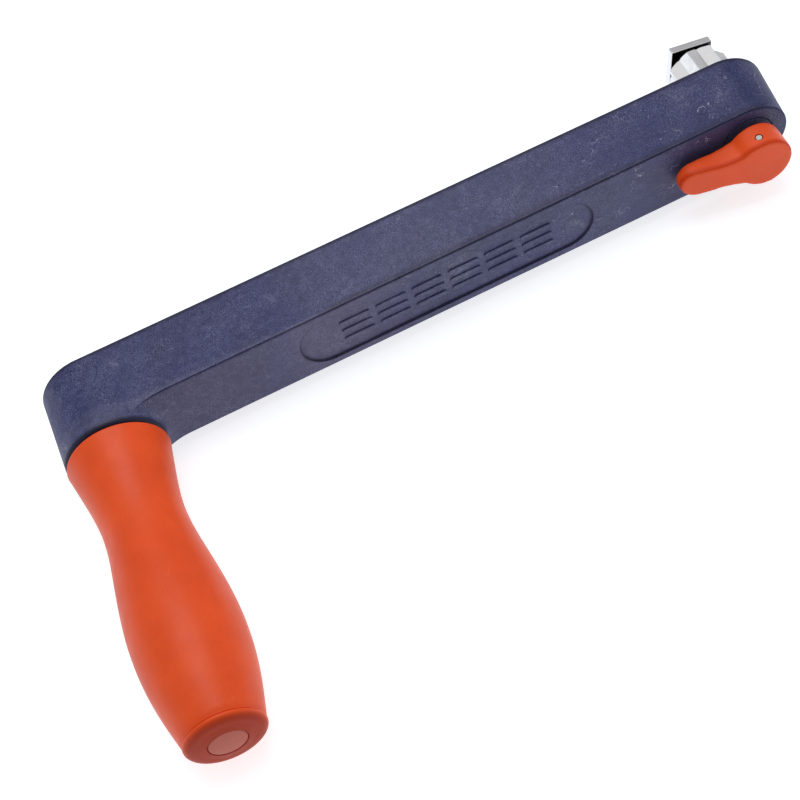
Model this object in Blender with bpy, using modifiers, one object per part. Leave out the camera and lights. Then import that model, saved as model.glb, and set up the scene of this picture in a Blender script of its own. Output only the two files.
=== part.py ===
"""Locking floating winch handle: a hollow moulded crank arm with a star drive spigot and its
turning lock at one end and a free-spinning hand grip at the other.

It is designed in its working pose: the spigot's axis is Z, the grip's axis is parallel to it at
+X, the arm's underside is z = 0 and the spigot points down. One empty then lays the whole handle
on its side, with its lowest line on the ground and its box centred over the origin.
"""

from math import asin, atan, atan2, cos, pi, radians, sin, tau

import bmesh
import bpy
from mathutils import Matrix, Vector

MM = 0.001
GAP = 0.3 * MM

# Arm
CENTRES = 254 * MM
ARM_HEIGHT_AT_SPIGOT = 24.4 * MM
ARM_HEIGHT_AT_GRIP = 26.8 * MM
ARM_BASE_HALF_WIDTH = 19.0 * MM
ARM_BASE_END_RADIUS = 18.5 * MM
ARM_TOP_HALF_WIDTH = 14.7 * MM
ARM_TOP_END_RADIUS = 16.0 * MM
ARM_EDGE_RADIUS = 1.0 * MM
ARM_SLOPE = (ARM_HEIGHT_AT_GRIP - ARM_HEIGHT_AT_SPIGOT) / CENTRES

# Boss under the grip
BOSS_TOP = 33.4 * MM
BOSS_RADIUS = 19.0 * MM
BOSS_FILLET = 10.0 * MM
BOSS_EDGE_TURN = radians(52)
FOOT_ROWS = 6
FOOT_COLUMNS = 12

# Shallow panel in the arm's upper face, with rows of plain bars
PANEL_START = 63.2 * MM
PANEL_END = 180.0 * MM
PANEL_HALF_WIDTH = 11.3 * MM
PANEL_DEPTH = 0.9 * MM
BAR_COLUMNS = 6
BAR_ROWS = 3
BAR_LENGTH = 12.0 * MM
BAR_HALF_WIDTH = 0.9 * MM
BAR_HEIGHT = 0.6 * MM
BAR_PITCH = 14.4 * MM
BAR_ROW_PITCH = 4.6 * MM

# Underside pockets, cover and gasket
COVER_START = 24 * MM
COVER_END = 230 * MM
COVER_HALF_WIDTH = 14.6 * MM
COVER_SEAT = 4.2 * MM
COVER_THICKNESS = 2.6 * MM
GASKET_THICKNESS = 0.9 * MM
GASKET_WIDTH = 1.6 * MM
POCKET_HALF_WIDTH = 12.0 * MM
POCKET_ROOF = 19.5 * MM
POCKETS = {"near_spigot": (36 * MM, 120 * MM), "near_grip": (134 * MM, 218 * MM)}
COVER_SCREW_PLACES = (30 * MM, 127 * MM, 224 * MM)
COVER_SCREW_RADIUS = 1.5 * MM
COVER_SCREW_HEAD_RADIUS = 3.2 * MM
COVER_SCREW_LENGTH = 13 * MM

# Drive spigot: an eight-point star of two squares, 11/16 inch across flats
STAR_FLATS = 17.46 * MM
STAR_LENGTH = 17.8 * MM
STAR_TURN = radians(12.5)
SHANK_SIDE = 15.0 * MM
SHANK_TOP = 14.0 * MM
TUBE_RADIUS = 7.0 * MM
TUBE_TOP = 23.0 * MM
SPIGOT_BORE = 4.0 * MM
BUSH_SEAT = 5.5 * MM
BUSH_DEPTH = 8.0 * MM
NUT_SEAT_RADIUS = 10.4 * MM
NUT_SEAT = 18.2 * MM
NUT_RADIUS = 9.4 * MM
WASHER_THICKNESS = 1.2 * MM
SEAT_COVER_THICKNESS = 1.0 * MM

# Lock: spindle, plate and lever
SPINDLE_RADIUS = 3.5 * MM
SPINDLE_TOP = 36.4 * MM
NECK_RADIUS = 5.0 * MM
NECK_LENGTH = 2.8 * MM
PLATE_SIDE = 16.6 * MM
PLATE_THICKNESS = 3.2 * MM
PLATE_LOCKED_TURN = radians(22.5)
LEVER_BASE = 26.8 * MM
LEVER_TOP = 38.4 * MM
HUB_RADIUS = 10.6 * MM
HUB_EDGE_RADIUS = 1.8 * MM
HUB_CAVITY_RADIUS = 8.4 * MM
HUB_CAVITY_TOP = 31.4 * MM
PADDLE_START = 4.0 * MM
PADDLE_TIP = 31.0 * MM
PADDLE_ROOT_HALF_WIDTH = 7.8 * MM
PADDLE_TIP_RADIUS = 6.2 * MM
PADDLE_ROOT_TOP = 38.0 * MM
PADDLE_TIP_TOP = 31.9 * MM
PADDLE_EDGE_RADIUS = 1.4 * MM
CROSS_PIN_RADIUS = 1.25 * MM
CROSS_PIN_HEIGHT = 33.5 * MM
STOP_PIN_RADIUS = 1.5 * MM
STOP_PIN_REACH = 16.0 * MM
STOP_SLOT_TOP = 30.0 * MM
UNLOCK_TURN = radians(22.5)
SPRING_RADIUS = 6.3 * MM
SPRING_WIRE = 0.55 * MM
SPRING_TURNS = 2.5

# Grip
GRIP_BASE = 33.9 * MM
GRIP_SLEEVE_END = 151.3 * MM
GRIP_END = 154.8 * MM
GRIP_PROFILE = (
    (33.9 * MM, 19.2 * MM),
    (48.4 * MM, 16.7 * MM),
    (64.0 * MM, 15.0 * MM),
    (86.0 * MM, 17.1 * MM),
    (110.0 * MM, 19.6 * MM),
    (134.0 * MM, 18.0 * MM),
    (151.3 * MM, 14.2 * MM),
)
GRIP_BELLY = 19.6 * MM
GRIP_BORE = 8.6 * MM
CAP_SKIRT_RADIUS = 11.0 * MM
CAP_SKIRT_DEPTH = 5.0 * MM
CAP_RADIUS = 14.4 * MM
CAP_EDGE_RADIUS = 2.6 * MM
CAP_DOME = 1.0 * MM
PLUG_RADIUS = 6.75 * MM
PIVOT_RADIUS = 6.0 * MM
PIVOT_TOP = 142.4 * MM
PIVOT_HEAD_RADIUS = 11.0 * MM
PIVOT_HEAD_TOP = 6.0 * MM
PIVOT_PLUG_TOP = 2.6 * MM
THRUST_WASHER_RADIUS = 12.0 * MM
BUSH_LENGTH = 14.0 * MM

NAVY = (0.060, 0.062, 0.165, 1.0)
ORANGE = (0.72, 0.115, 0.035, 1.0)
STEEL = (0.62, 0.62, 0.60, 1.0)
CHROME = (0.80, 0.80, 0.80, 1.0)
NYLON = (0.82, 0.80, 0.74, 1.0)
RUBBER = (0.02, 0.02, 0.02, 1.0)
FOAM = (0.75, 0.72, 0.60, 1.0)
BRASS = (0.70, 0.52, 0.22, 1.0)

# Each node's colour, roughness and metallic value
FINISHES = {
    "navy_plastic": (NAVY, 0.5, 0.0),
    "orange_plastic": (ORANGE, 0.42, 0.0),
    "chrome": (CHROME, 0.12, 1.0),
    "steel": (STEEL, 0.3, 1.0),
    "nylon": (NYLON, 0.5, 0.0),
    "rubber": (RUBBER, 0.7, 0.0),
    "foam": (FOAM, 0.9, 0.0),
    "brass": (BRASS, 0.35, 1.0),
}

FINE = 48
COARSE = 32


# ---------------------------------------------------------------- scene helpers


def clear_scene():
    for obj in list(bpy.data.objects):
        bpy.data.objects.remove(obj, do_unlink=True)


def new_collection(name):
    collection = bpy.data.collections.new(name)
    bpy.context.scene.collection.children.link(collection)
    return collection


def finish_of(name):
    found = bpy.data.materials.get(name)
    if found:
        return found
    colour, roughness, metallic = FINISHES[name]
    material = bpy.data.materials.new(name)
    material.use_nodes = True
    shader = material.node_tree.nodes["Principled BSDF"]
    shader.inputs["Base Color"].default_value = colour
    shader.inputs["Roughness"].default_value = roughness
    shader.inputs["Metallic"].default_value = metallic
    material.diffuse_color = colour
    return material


def empty(name, parent, location=(0, 0, 0)):
    obj = bpy.data.objects.new(name, None)
    obj.empty_display_size = 0.02
    PARTS.objects.link(obj)
    obj.parent = parent
    obj.location = location
    return obj


def place(obj, parent, finish=None, cutter=False, location=(0, 0, 0), rotation=(0, 0, 0)):
    """Links the object as a part, or as a cutter, under its parent empty."""
    (CUTTERS if cutter else PARTS).objects.link(obj)
    obj.parent = parent
    obj.location = location
    obj.rotation_euler = rotation
    if cutter:
        obj.hide_render = True
        obj.display_type = "WIRE"
    else:
        obj.data.materials.append(finish_of(finish))
    return obj


def boolean(target, tool, operation="DIFFERENCE", solver="EXACT"):
    modifier = target.modifiers.new(tool.name, "BOOLEAN")
    modifier.operation = operation
    modifier.solver = solver
    modifier.object = tool


def shade(obj, angle=35):
    obj.data.shade_smooth()
    obj.data.set_sharp_from_angle(angle=radians(angle))


# ---------------------------------------------------------------- outlines


def arc(centre, radii, start, end, count):
    """Points on an elliptical arc from one angle to another, both ends included."""
    step = (end - start) / count
    angles = [start + step * i for i in range(count + 1)]
    return [(centre[0] + radii[0] * cos(a), centre[1] + radii[1] * sin(a)) for a in angles]


def obround(start, end, half_width, count=12):
    """A slot outline along X, from its first end to its last."""
    right = arc((end - half_width, 0), (half_width, half_width), -pi / 2, pi / 2, count)
    left = arc((start + half_width, 0), (half_width, half_width), pi / 2, 3 * pi / 2, count)
    return right + left


def circle(radius, count=COARSE):
    return arc((0, 0), (radius, radius), 0, tau * (count - 1) / count, count - 1)


def square(side, turn=0.0):
    corner = side / 2 * 2**0.5
    return [
        (corner * cos(turn + pi / 2 * i), corner * sin(turn + pi / 2 * i)) for i in range(4)
    ]


def star(flats, turn):
    """Two equal squares, an eighth of a turn apart: eight points and eight valleys."""
    tip = flats / 2 * 2**0.5
    valley = flats / 2 / cos(pi / 8)
    corners = []
    for i in range(8):
        angle = turn + pi / 4 * i
        corners.append((tip * cos(angle), tip * sin(angle)))
        corners.append((valley * cos(angle + pi / 8), valley * sin(angle + pi / 8)))
    return corners


def through(points, count):
    """A smooth curve through the given (height, radius) points, count steps in each stretch."""
    ends = [points[0], *points, points[-1]]
    found = []
    for i in range(1, len(ends) - 2):
        before, start, end, after = (Vector(ends[j]) for j in (i - 1, i, i + 1, i + 2))
        for step in range(count):
            t = step / count
            found.append(
                (
                    2 * start
                    + (end - before) * t
                    + (2 * before - 5 * start + 4 * end - after) * t**2
                    + (3 * start - before - 3 * end + after) * t**3
                )
                / 2
            )
    return [tuple(point) for point in found] + [points[-1]]


# ---------------------------------------------------------------- solids


def prism_mesh(name, outline, bottom, top):
    """A flat outline between two heights, made as a filled 2D curve and then a mesh."""
    curve = bpy.data.curves.new(name, "CURVE")
    curve.dimensions = "2D"
    curve.fill_mode = "BOTH"
    curve.extrude = (top - bottom) / 2
    spline = curve.splines.new("POLY")
    spline.points.add(len(outline) - 1)
    for point, (x, y) in zip(spline.points, outline):
        point.co = (x, y, 0, 1)
    spline.use_cyclic_u = True
    guide = bpy.data.objects.new(name + "_outline", curve)
    bpy.context.scene.collection.objects.link(guide)
    graph = bpy.context.evaluated_depsgraph_get()
    mesh = bpy.data.meshes.new_from_object(guide.evaluated_get(graph))
    bpy.data.objects.remove(guide, do_unlink=True)
    bpy.data.curves.remove(curve)
    mesh.transform(Matrix.Translation((0, 0, (top + bottom) / 2)))
    weld(mesh)
    mesh.name = name
    return mesh


def weld(mesh):
    work = bmesh.new()
    work.from_mesh(mesh)
    bmesh.ops.remove_doubles(work, verts=work.verts, dist=0.00001)
    bmesh.ops.recalc_face_normals(work, faces=work.faces)
    work.to_mesh(mesh)
    work.free()


def prism(name, outline, bottom, top, parent, finish=None, **placing):
    mesh = prism_mesh(name, outline, bottom, top)
    mesh.materials.clear()
    return place(bpy.data.objects.new(name, mesh), parent, finish, **placing)


def turned(name, profile, parent, finish=None, closed=False, steps=FINE, **placing):
    """A solid of revolution about Z. The (height, radius) profile runs down its outer side;
    a closed one is a ring, and its last points come back up the inner side."""
    mesh = bpy.data.meshes.new(name)
    points = [(radius, 0, height) for height, radius in profile]
    edges = [(i, i + 1) for i in range(len(points) - 1)]
    if closed:
        edges.append((len(points) - 1, 0))
    mesh.from_pydata(points, edges, [])
    obj = place(bpy.data.objects.new(name, mesh), parent, finish, **placing)
    screw = obj.modifiers.new("turn", "SCREW")
    screw.steps = steps
    screw.render_steps = steps
    screw.use_merge_vertices = True
    screw.merge_threshold = 0.00001
    screw.use_smooth_shade = True
    return obj


def ring(name, inner, outer, bottom, top, parent, finish=None, **placing):
    profile = [(top, outer), (bottom, outer), (bottom, inner), (top, inner)]
    return turned(name, profile, parent, finish, closed=True, **placing)


def rod(name, radius, bottom, top, parent, finish=None, **placing):
    profile = [(top, 0), (top, radius), (bottom, radius), (bottom, 0)]
    return turned(name, profile, parent, finish, **placing)


def bevel(obj, width, segments=2, angle=40):
    modifier = obj.modifiers.new("rounded_edges", "BEVEL")
    modifier.width = width
    modifier.segments = segments
    modifier.limit_method = "ANGLE"
    modifier.angle_limit = radians(angle)


# ---------------------------------------------------------------- arm


def arm_height(x):
    return ARM_HEIGHT_AT_SPIGOT + ARM_SLOPE * x


def boss_rows():
    """(radius, lift) of each row of the boss's concave foot, from the arm's top to the rim."""
    angles = [pi / 2 * i / FOOT_ROWS for i in range(FOOT_ROWS + 1)]
    return [(BOSS_RADIUS + BOSS_FILLET * (1 - sin(a)), 1 - cos(a)) for a in angles]


def foot_point(radius, lift, angle):
    """A point on the boss's foot; the angle is measured from the side that faces the spigot."""
    x = CENTRES - radius * cos(angle)
    low = arm_height(x)
    return x, radius * sin(angle), low + (BOSS_TOP - low) * lift


def foot_grid():
    """Rows of points across the foot, each from the arm's -Y edge to its +Y edge."""
    grid = []
    for row, (radius, lift) in enumerate(boss_rows()):
        edge = asin(ARM_TOP_HALF_WIDTH / radius)
        edge += (BOSS_EDGE_TURN - edge) * (row / FOOT_ROWS) ** 4
        angles = [edge * (2 * i / FOOT_COLUMNS - 1) for i in range(FOOT_COLUMNS + 1)]
        grid.append([foot_point(radius, lift, angle) for angle in angles])
    return grid


def base_point(x, y):
    """The point of the underside's outline below a point of the upper outline."""
    for centre, beyond in ((0.0, x < 0), (CENTRES, x > CENTRES)):
        if beyond:
            angle = atan2(y, x - centre)
            return (
                centre + ARM_BASE_END_RADIUS * cos(angle),
                ARM_BASE_HALF_WIDTH * sin(angle),
                0,
            )
    return x, ARM_BASE_HALF_WIDTH * (1 if y > 0 else -1), 0


def drafted_arm():
    """The arm's outer block, lofted from its underside's outline to its narrower upper outline,
    which rises in a concave foot to the round boss under the grip."""
    grid = foot_grid()
    turn = pi - BOSS_EDGE_TURN
    rim = [
        (x, y, BOSS_TOP)
        for x, y in arc((CENTRES, 0), (BOSS_RADIUS, BOSS_RADIUS), -turn, turn, FINE * 3 // 4)
    ]
    near = [row[0] for row in grid[:-1]]
    far = [row[-1] for row in reversed(grid[:-1])]
    spigot = [
        (x, y, arm_height(x))
        for x, y in arc((0, 0), (ARM_TOP_END_RADIUS, ARM_TOP_HALF_WIDTH), pi / 2, 3 * pi / 2,
                        FINE // 2)
    ]
    work = bmesh.new()
    upper = [work.verts.new(point) for point in rim + far + spigot + near]
    lower = [work.verts.new(base_point(v.co.x, v.co.y)) for v in upper]
    for i in range(len(upper)):
        work.faces.new((lower[i - 1], lower[i], upper[i], upper[i - 1]))
    rows = [
        [work.verts.new(point) for point in row[1:-1]] for row in grid
    ]
    edges = [*range(len(upper) - len(near), len(upper)), 0]
    others = [*range(len(rim) + len(far) - 1, len(rim) - 2, -1)]
    rows = [[upper[a], *row, upper[b]] for row, a, b in zip(rows, edges, others)]
    for first, second in zip(rows, rows[1:]):
        for i in range(FOOT_COLUMNS):
            work.faces.new((first[i], first[i + 1], second[i + 1], second[i]))
    work.faces.new([*rows[-1], *reversed(upper[1:len(rim) - 1])])
    start = len(rim) + len(far)
    work.faces.new([*rows[0], *upper[start:start + len(spigot)]])
    work.faces.new(lower)
    bmesh.ops.recalc_face_normals(work, faces=work.faces)
    mesh = bpy.data.meshes.new("arm_body")
    work.to_mesh(mesh)
    work.free()
    return mesh


def arm_body(arm):
    body = place(bpy.data.objects.new("arm_body", drafted_arm()), arm, "navy_plastic")
    bevel(body, ARM_EDGE_RADIUS)
    slope = (0, -atan(ARM_SLOPE), 0)
    panel_outline = obround(PANEL_START, PANEL_END, PANEL_HALF_WIDTH, 10)
    floor = ARM_HEIGHT_AT_SPIGOT - PANEL_DEPTH
    panel = prism("panel_cut", panel_outline, floor, floor + 4 * MM, arm, cutter=True,
                  rotation=slope)
    boolean(body, panel, solver="MANIFOLD")
    for column in range(BAR_COLUMNS):
        for row in range(BAR_ROWS):
            boolean(body, panel_bar(column, row, floor, slope, arm), "UNION", "MANIFOLD")
    for tool in underside_cuts(arm) + spigot_cuts(arm) + pivot_cuts(arm):
        boolean(body, tool, solver="MANIFOLD")
    shade(body)


def panel_bar(column, row, floor, slope, arm):
    """One plain raised bar on the panel's floor, along the arm."""
    x = (PANEL_START + PANEL_END) / 2 + BAR_PITCH * (column - (BAR_COLUMNS - 1) / 2)
    y = BAR_ROW_PITCH * (row - (BAR_ROWS - 1) / 2)
    outline = [
        (x + dx * BAR_LENGTH / 2, y + dy * BAR_HALF_WIDTH)
        for dx, dy in ((-1, -1), (1, -1), (1, 1), (-1, 1))
    ]
    return prism(f"bar_{column}_{row}", outline, floor - 1 * MM, floor + BAR_HEIGHT, arm,
                 cutter=True, rotation=slope)


def underside_cuts(arm):
    below = -1 * MM
    seat = obround(COVER_START, COVER_END, COVER_HALF_WIDTH)
    tools = [prism("cover_seat_cut", seat, below, COVER_SEAT, arm, cutter=True)]
    for name, (start, end) in POCKETS.items():
        outline = obround(start, end, POCKET_HALF_WIDTH, 8)
        tools.append(prism(f"pocket_cut_{name}", outline, below, POCKET_ROOF, arm, cutter=True))
    for i, x in enumerate(COVER_SCREW_PLACES):
        tools.append(rod(f"screw_hole_{i}", COVER_SCREW_RADIUS + GAP, below,
                         COVER_SCREW_LENGTH + GAP, arm, cutter=True, steps=16,
                         location=(x, 0, 0)))
    return tools


def spigot_cuts(arm):
    top = ARM_HEIGHT_AT_SPIGOT + 3 * MM
    stop_x = STOP_PIN_REACH * cos(UNLOCK_TURN / 2)
    stop_y = STOP_PIN_REACH * sin(UNLOCK_TURN / 2)
    socket = square(SHANK_SIDE + 2 * GAP, pi / 4)
    return [
        prism("shank_socket", socket, -1 * MM, SHANK_TOP + GAP, arm, cutter=True),
        rod("tube_hole", TUBE_RADIUS + GAP, SHANK_TOP - 1 * MM, top, arm, cutter=True),
        rod("nut_seat", NUT_SEAT_RADIUS, NUT_SEAT, top, arm, cutter=True),
        rod("stop_pin_hole", STOP_PIN_RADIUS + GAP, ARM_HEIGHT_AT_SPIGOT - 6 * MM, top, arm,
            cutter=True, steps=16, location=(stop_x, stop_y, 0)),
    ]


def pivot_cuts(arm):
    at = (CENTRES, 0, 0)
    return [
        rod("pivot_head_seat", PIVOT_HEAD_RADIUS + GAP, -1 * MM, PIVOT_HEAD_TOP + GAP, arm,
            cutter=True, location=at),
        rod("pivot_hole", PIVOT_RADIUS + GAP, 5 * MM, BOSS_TOP + 1 * MM, arm, cutter=True,
            location=at),
        rod("thrust_washer_seat", THRUST_WASHER_RADIUS + GAP, BOSS_TOP - 1.1 * MM,
            BOSS_TOP + 1 * MM, arm, cutter=True, location=at),
    ]


def arm_cover(arm):
    outline = obround(COVER_START + GAP, COVER_END - GAP, COVER_HALF_WIDTH - GAP)
    bottom = 0.2 * MM
    cover = prism("arm_bottom_cover", outline, bottom, bottom + COVER_THICKNESS, arm,
                  "navy_plastic")
    for i, x in enumerate(COVER_SCREW_PLACES):
        depth = COVER_SCREW_HEAD_RADIUS - COVER_SCREW_RADIUS
        profile = [
            (4 * MM, 0),
            (4 * MM, COVER_SCREW_RADIUS + GAP),
            (bottom + depth, COVER_SCREW_RADIUS + GAP),
            (bottom, COVER_SCREW_HEAD_RADIUS + GAP),
            (-1 * MM, COVER_SCREW_HEAD_RADIUS + GAP),
            (-1 * MM, 0),
        ]
        sink = turned(f"countersink_{i}", profile, arm, cutter=True, steps=16,
                      location=(x, 0, 0))
        boolean(cover, sink, solver="MANIFOLD")
        screw = [
            (COVER_SCREW_LENGTH, 0),
            (COVER_SCREW_LENGTH - 1 * MM, COVER_SCREW_RADIUS),
            (bottom + depth + 0.1 * MM, COVER_SCREW_RADIUS),
            (bottom + 0.1 * MM, COVER_SCREW_HEAD_RADIUS),
            (bottom + 0.1 * MM, 0),
        ]
        turned(f"cover_screw_{i + 1}", screw, arm, "steel", steps=16, location=(x, 0, 0))
    gasket_bottom = bottom + COVER_THICKNESS + 0.2 * MM
    outer = obround(COVER_START + 0.6 * MM, COVER_END - 0.6 * MM, COVER_HALF_WIDTH - 0.6 * MM)
    inset = 0.6 * MM + GASKET_WIDTH
    inner = obround(COVER_START + inset, COVER_END - inset, COVER_HALF_WIDTH - inset)
    gasket = prism("cover_gasket", outer, gasket_bottom, gasket_bottom + GASKET_THICKNESS, arm,
                   "rubber")
    boolean(gasket, prism("gasket_cut", inner, 0, 2 * COVER_SEAT, arm, cutter=True))


def foam_cores(arm):
    for name, (start, end) in POCKETS.items():
        clear = GAP + 0.1 * MM
        outline = obround(start + clear, end - clear, POCKET_HALF_WIDTH - clear, 8)
        prism(f"foam_core_{name}", outline, COVER_SEAT + 0.3 * MM, POCKET_ROOF - clear, arm,
              "foam")


# ---------------------------------------------------------------- drive spigot


def drive_spigot(arm):
    """Star head, square shank and round tube in one piece, bored for the lock spindle."""
    head = prism("drive_spigot", star(STAR_FLATS, STAR_TURN), -STAR_LENGTH, -GAP, arm, "chrome")
    bevel(head, 0.35 * MM, 1, 60)
    joined = [
        prism("spigot_shank", square(SHANK_SIDE, pi / 4), -1 * MM, SHANK_TOP, arm, cutter=True),
        rod("spigot_tube", TUBE_RADIUS, SHANK_TOP - 1 * MM, TUBE_TOP, arm, cutter=True),
    ]
    for piece in joined:
        boolean(head, piece, "UNION", "MANIFOLD")
    below = -STAR_LENGTH - 1 * MM
    above = TUBE_TOP + 1 * MM
    cuts = [
        rod("spindle_bore", SPIGOT_BORE, below, above, arm, cutter=True, steps=COARSE),
        rod("lower_bush_seat", BUSH_SEAT, below, -STAR_LENGTH + BUSH_DEPTH + 2 * MM, arm,
            cutter=True, steps=COARSE),
        rod("upper_bush_seat", BUSH_SEAT, TUBE_TOP - BUSH_DEPTH, above, arm, cutter=True,
            steps=COARSE),
    ]
    for cut in cuts:
        boolean(head, cut, solver="MANIFOLD")
    shade(head, 20)


def spigot_fittings(arm):
    inner = SPINDLE_RADIUS + GAP
    outer = BUSH_SEAT - GAP
    low = -STAR_LENGTH + 0.2 * MM
    ring("spindle_bush_lower", inner, outer, low, low + BUSH_DEPTH - 0.4 * MM, arm, "brass",
         steps=COARSE)
    ring("spindle_bush_upper", inner, outer, TUBE_TOP - BUSH_DEPTH + GAP, TUBE_TOP - 0.1 * MM,
         arm, "brass", steps=COARSE)
    middle = (inner + outer) / 2
    section = (outer - inner) / 2
    seal = arc((-STAR_LENGTH + BUSH_DEPTH + 1 * MM, middle), (section, section), 0, tau * 9 / 10, 9)
    turned("spindle_o_ring", seal, arm, "rubber", closed=True, steps=COARSE)
    washer_top = NUT_SEAT + GAP + WASHER_THICKNESS
    ring("spigot_washer", TUBE_RADIUS + GAP, NUT_SEAT_RADIUS - 0.5 * MM, NUT_SEAT + GAP,
         washer_top, arm, "steel")
    nut = ring("spigot_ring_nut", TUBE_RADIUS + GAP, NUT_RADIUS, washer_top + GAP,
               TUBE_TOP, arm, "steel")
    for i in range(4):
        notch = prism(f"nut_notch_{i}", square(3 * MM), washer_top, TUBE_TOP + 1 * MM,
                      arm, cutter=True, rotation=(0, 0, pi / 2 * i + pi / 4),
                      location=(NUT_RADIUS * cos(pi / 2 * i), NUT_RADIUS * sin(pi / 2 * i), 0))
        boolean(nut, notch)
    cover_bottom = TUBE_TOP + GAP
    ring("nut_seat_cover", SPINDLE_RADIUS + GAP, NUT_SEAT_RADIUS - GAP, cover_bottom,
         cover_bottom + SEAT_COVER_THICKNESS, arm, "navy_plastic")
    x = STOP_PIN_REACH * cos(UNLOCK_TURN / 2)
    y = STOP_PIN_REACH * sin(UNLOCK_TURN / 2)
    rod("lever_stop_pin", STOP_PIN_RADIUS, ARM_HEIGHT_AT_SPIGOT - 5.7 * MM,
        STOP_SLOT_TOP - 2 * GAP, arm, "steel", steps=16, location=(x, y, 0))


# ---------------------------------------------------------------- lock


def lock_spindle(lock):
    neck_top = -STAR_LENGTH - GAP
    neck_bottom = -STAR_LENGTH - NECK_LENGTH + GAP
    profile = [
        (SPINDLE_TOP, 0),
        (SPINDLE_TOP, SPINDLE_RADIUS - 0.5 * MM),
        (SPINDLE_TOP - 0.5 * MM, SPINDLE_RADIUS),
        (neck_top, SPINDLE_RADIUS),
        (neck_top, NECK_RADIUS),
        (neck_bottom, NECK_RADIUS),
        (neck_bottom, 0),
    ]
    spindle = turned("lock_spindle", profile, lock, "steel", steps=COARSE)
    boolean(spindle, cross_pin_hole("spindle_pin_hole", lock))
    boolean(spindle, rod("plate_screw_hole", 2 * MM + GAP, neck_bottom - 1 * MM, -8 * MM, lock,
                         cutter=True, steps=24))


def cross_pin_hole(name, lock):
    return rod(name, CROSS_PIN_RADIUS + GAP, -15 * MM, 15 * MM, lock, cutter=True, steps=16,
               rotation=(pi / 2, 0, 0), location=(0, 0, CROSS_PIN_HEIGHT))


def lock_plate(lock):
    top = -STAR_LENGTH - NECK_LENGTH
    bottom = top - PLATE_THICKNESS
    turn = STAR_TURN + PLATE_LOCKED_TURN
    plate = prism("lock_plate", square(PLATE_SIDE, turn), bottom, top, lock, "chrome")
    bevel(plate, 0.4 * MM, 1)
    screw_radius = 2 * MM
    head_radius = 4 * MM
    sink = [
        (top + 1 * MM, 0),
        (top + 1 * MM, screw_radius + GAP),
        (bottom + head_radius - screw_radius, screw_radius + GAP),
        (bottom, head_radius + GAP),
        (bottom - 1 * MM, head_radius + GAP),
        (bottom - 1 * MM, 0),
    ]
    boolean(plate, turned("plate_countersink", sink, lock, cutter=True, steps=24))
    face = bottom + 0.1 * MM
    screw = [
        (-9 * MM, 0),
        (-9.5 * MM, screw_radius),
        (face + head_radius - screw_radius, screw_radius),
        (face, head_radius),
        (face, 0),
    ]
    turned("lock_plate_screw", screw, lock, "steel", steps=24)


def lever_paddle(lock):
    """The thumb lever: a tapering tongue with a round end and a top that falls to its tip."""
    centre = PADDLE_TIP - PADDLE_TIP_RADIUS
    tip = arc((centre, 0), (PADDLE_TIP_RADIUS, PADDLE_TIP_RADIUS), -pi / 2, pi / 2, 12)
    outline = [(PADDLE_START, -PADDLE_ROOT_HALF_WIDTH), *tip]
    outline.append((PADDLE_START, PADDLE_ROOT_HALF_WIDTH))
    fall = (PADDLE_ROOT_TOP - PADDLE_TIP_TOP) / (PADDLE_TIP - PADDLE_START)
    mesh = prism_mesh("lever_paddle", outline, LEVER_BASE, PADDLE_ROOT_TOP)
    mesh.materials.clear()
    for vertex in mesh.vertices:
        if vertex.co.z > (LEVER_BASE + PADDLE_ROOT_TOP) / 2:
            vertex.co.z -= fall * (vertex.co.x - PADDLE_START)
    paddle = place(bpy.data.objects.new("lever_paddle", mesh), lock, cutter=True)
    bevel(paddle, PADDLE_EDGE_RADIUS, 2, 30)
    return paddle


def lock_lever(lock):
    corner = arc((LEVER_TOP - HUB_EDGE_RADIUS, HUB_RADIUS - HUB_EDGE_RADIUS),
                 (HUB_EDGE_RADIUS, HUB_EDGE_RADIUS), 0, pi / 2, 4)
    profile = [(LEVER_TOP, 0), *corner, (LEVER_BASE, HUB_RADIUS), (LEVER_BASE, 0)]
    lever = turned("lock_lever", profile, lock, "orange_plastic")
    boolean(lever, lever_paddle(lock), "UNION")
    below = LEVER_BASE - 1 * MM
    boolean(lever, rod("hub_cavity", HUB_CAVITY_RADIUS, below, HUB_CAVITY_TOP, lock, cutter=True))
    boolean(lever, rod("hub_bore", SPINDLE_RADIUS + GAP, below, SPINDLE_TOP + GAP, lock,
                       cutter=True, steps=COARSE))
    boolean(lever, cross_pin_hole("lever_pin_hole", lock))
    boolean(lever, stop_slot(lock))


def stop_slot(lock):
    """The curved slot that rides over the stop pin and ends the lever's travel."""
    half = UNLOCK_TURN / 2
    reach = STOP_PIN_REACH
    width = STOP_PIN_RADIUS + GAP
    outer = arc((0, 0), (reach + width, reach + width), -half, half, 6)
    inner = arc((0, 0), (reach - width, reach - width), half, -half, 6)
    right = (reach * cos(half), reach * sin(half))
    far_end = arc(right, (width, width), half, half + pi, 6)
    left = (right[0], -right[1])
    near_end = arc(left, (width, width), pi - half, tau - half, 6)
    outline = outer + far_end[1:-1] + inner + near_end[1:-1]
    return prism("stop_slot", outline, LEVER_BASE - 1 * MM, STOP_SLOT_TOP, lock, cutter=True)


def cross_pin(lock):
    """The solid pin that keys the lever to its spindle, with chamfered ends."""
    half = HUB_RADIUS - 0.25 * MM
    chamfer = 0.25 * MM
    profile = [
        (half, 0),
        (half, CROSS_PIN_RADIUS - chamfer),
        (half - chamfer, CROSS_PIN_RADIUS),
        (chamfer - half, CROSS_PIN_RADIUS),
        (-half, CROSS_PIN_RADIUS - chamfer),
        (-half, 0),
    ]
    turned("lever_cross_pin", profile, lock, "steel", steps=24, rotation=(pi / 2, 0, 0),
           location=(0, 0, CROSS_PIN_HEIGHT))


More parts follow.
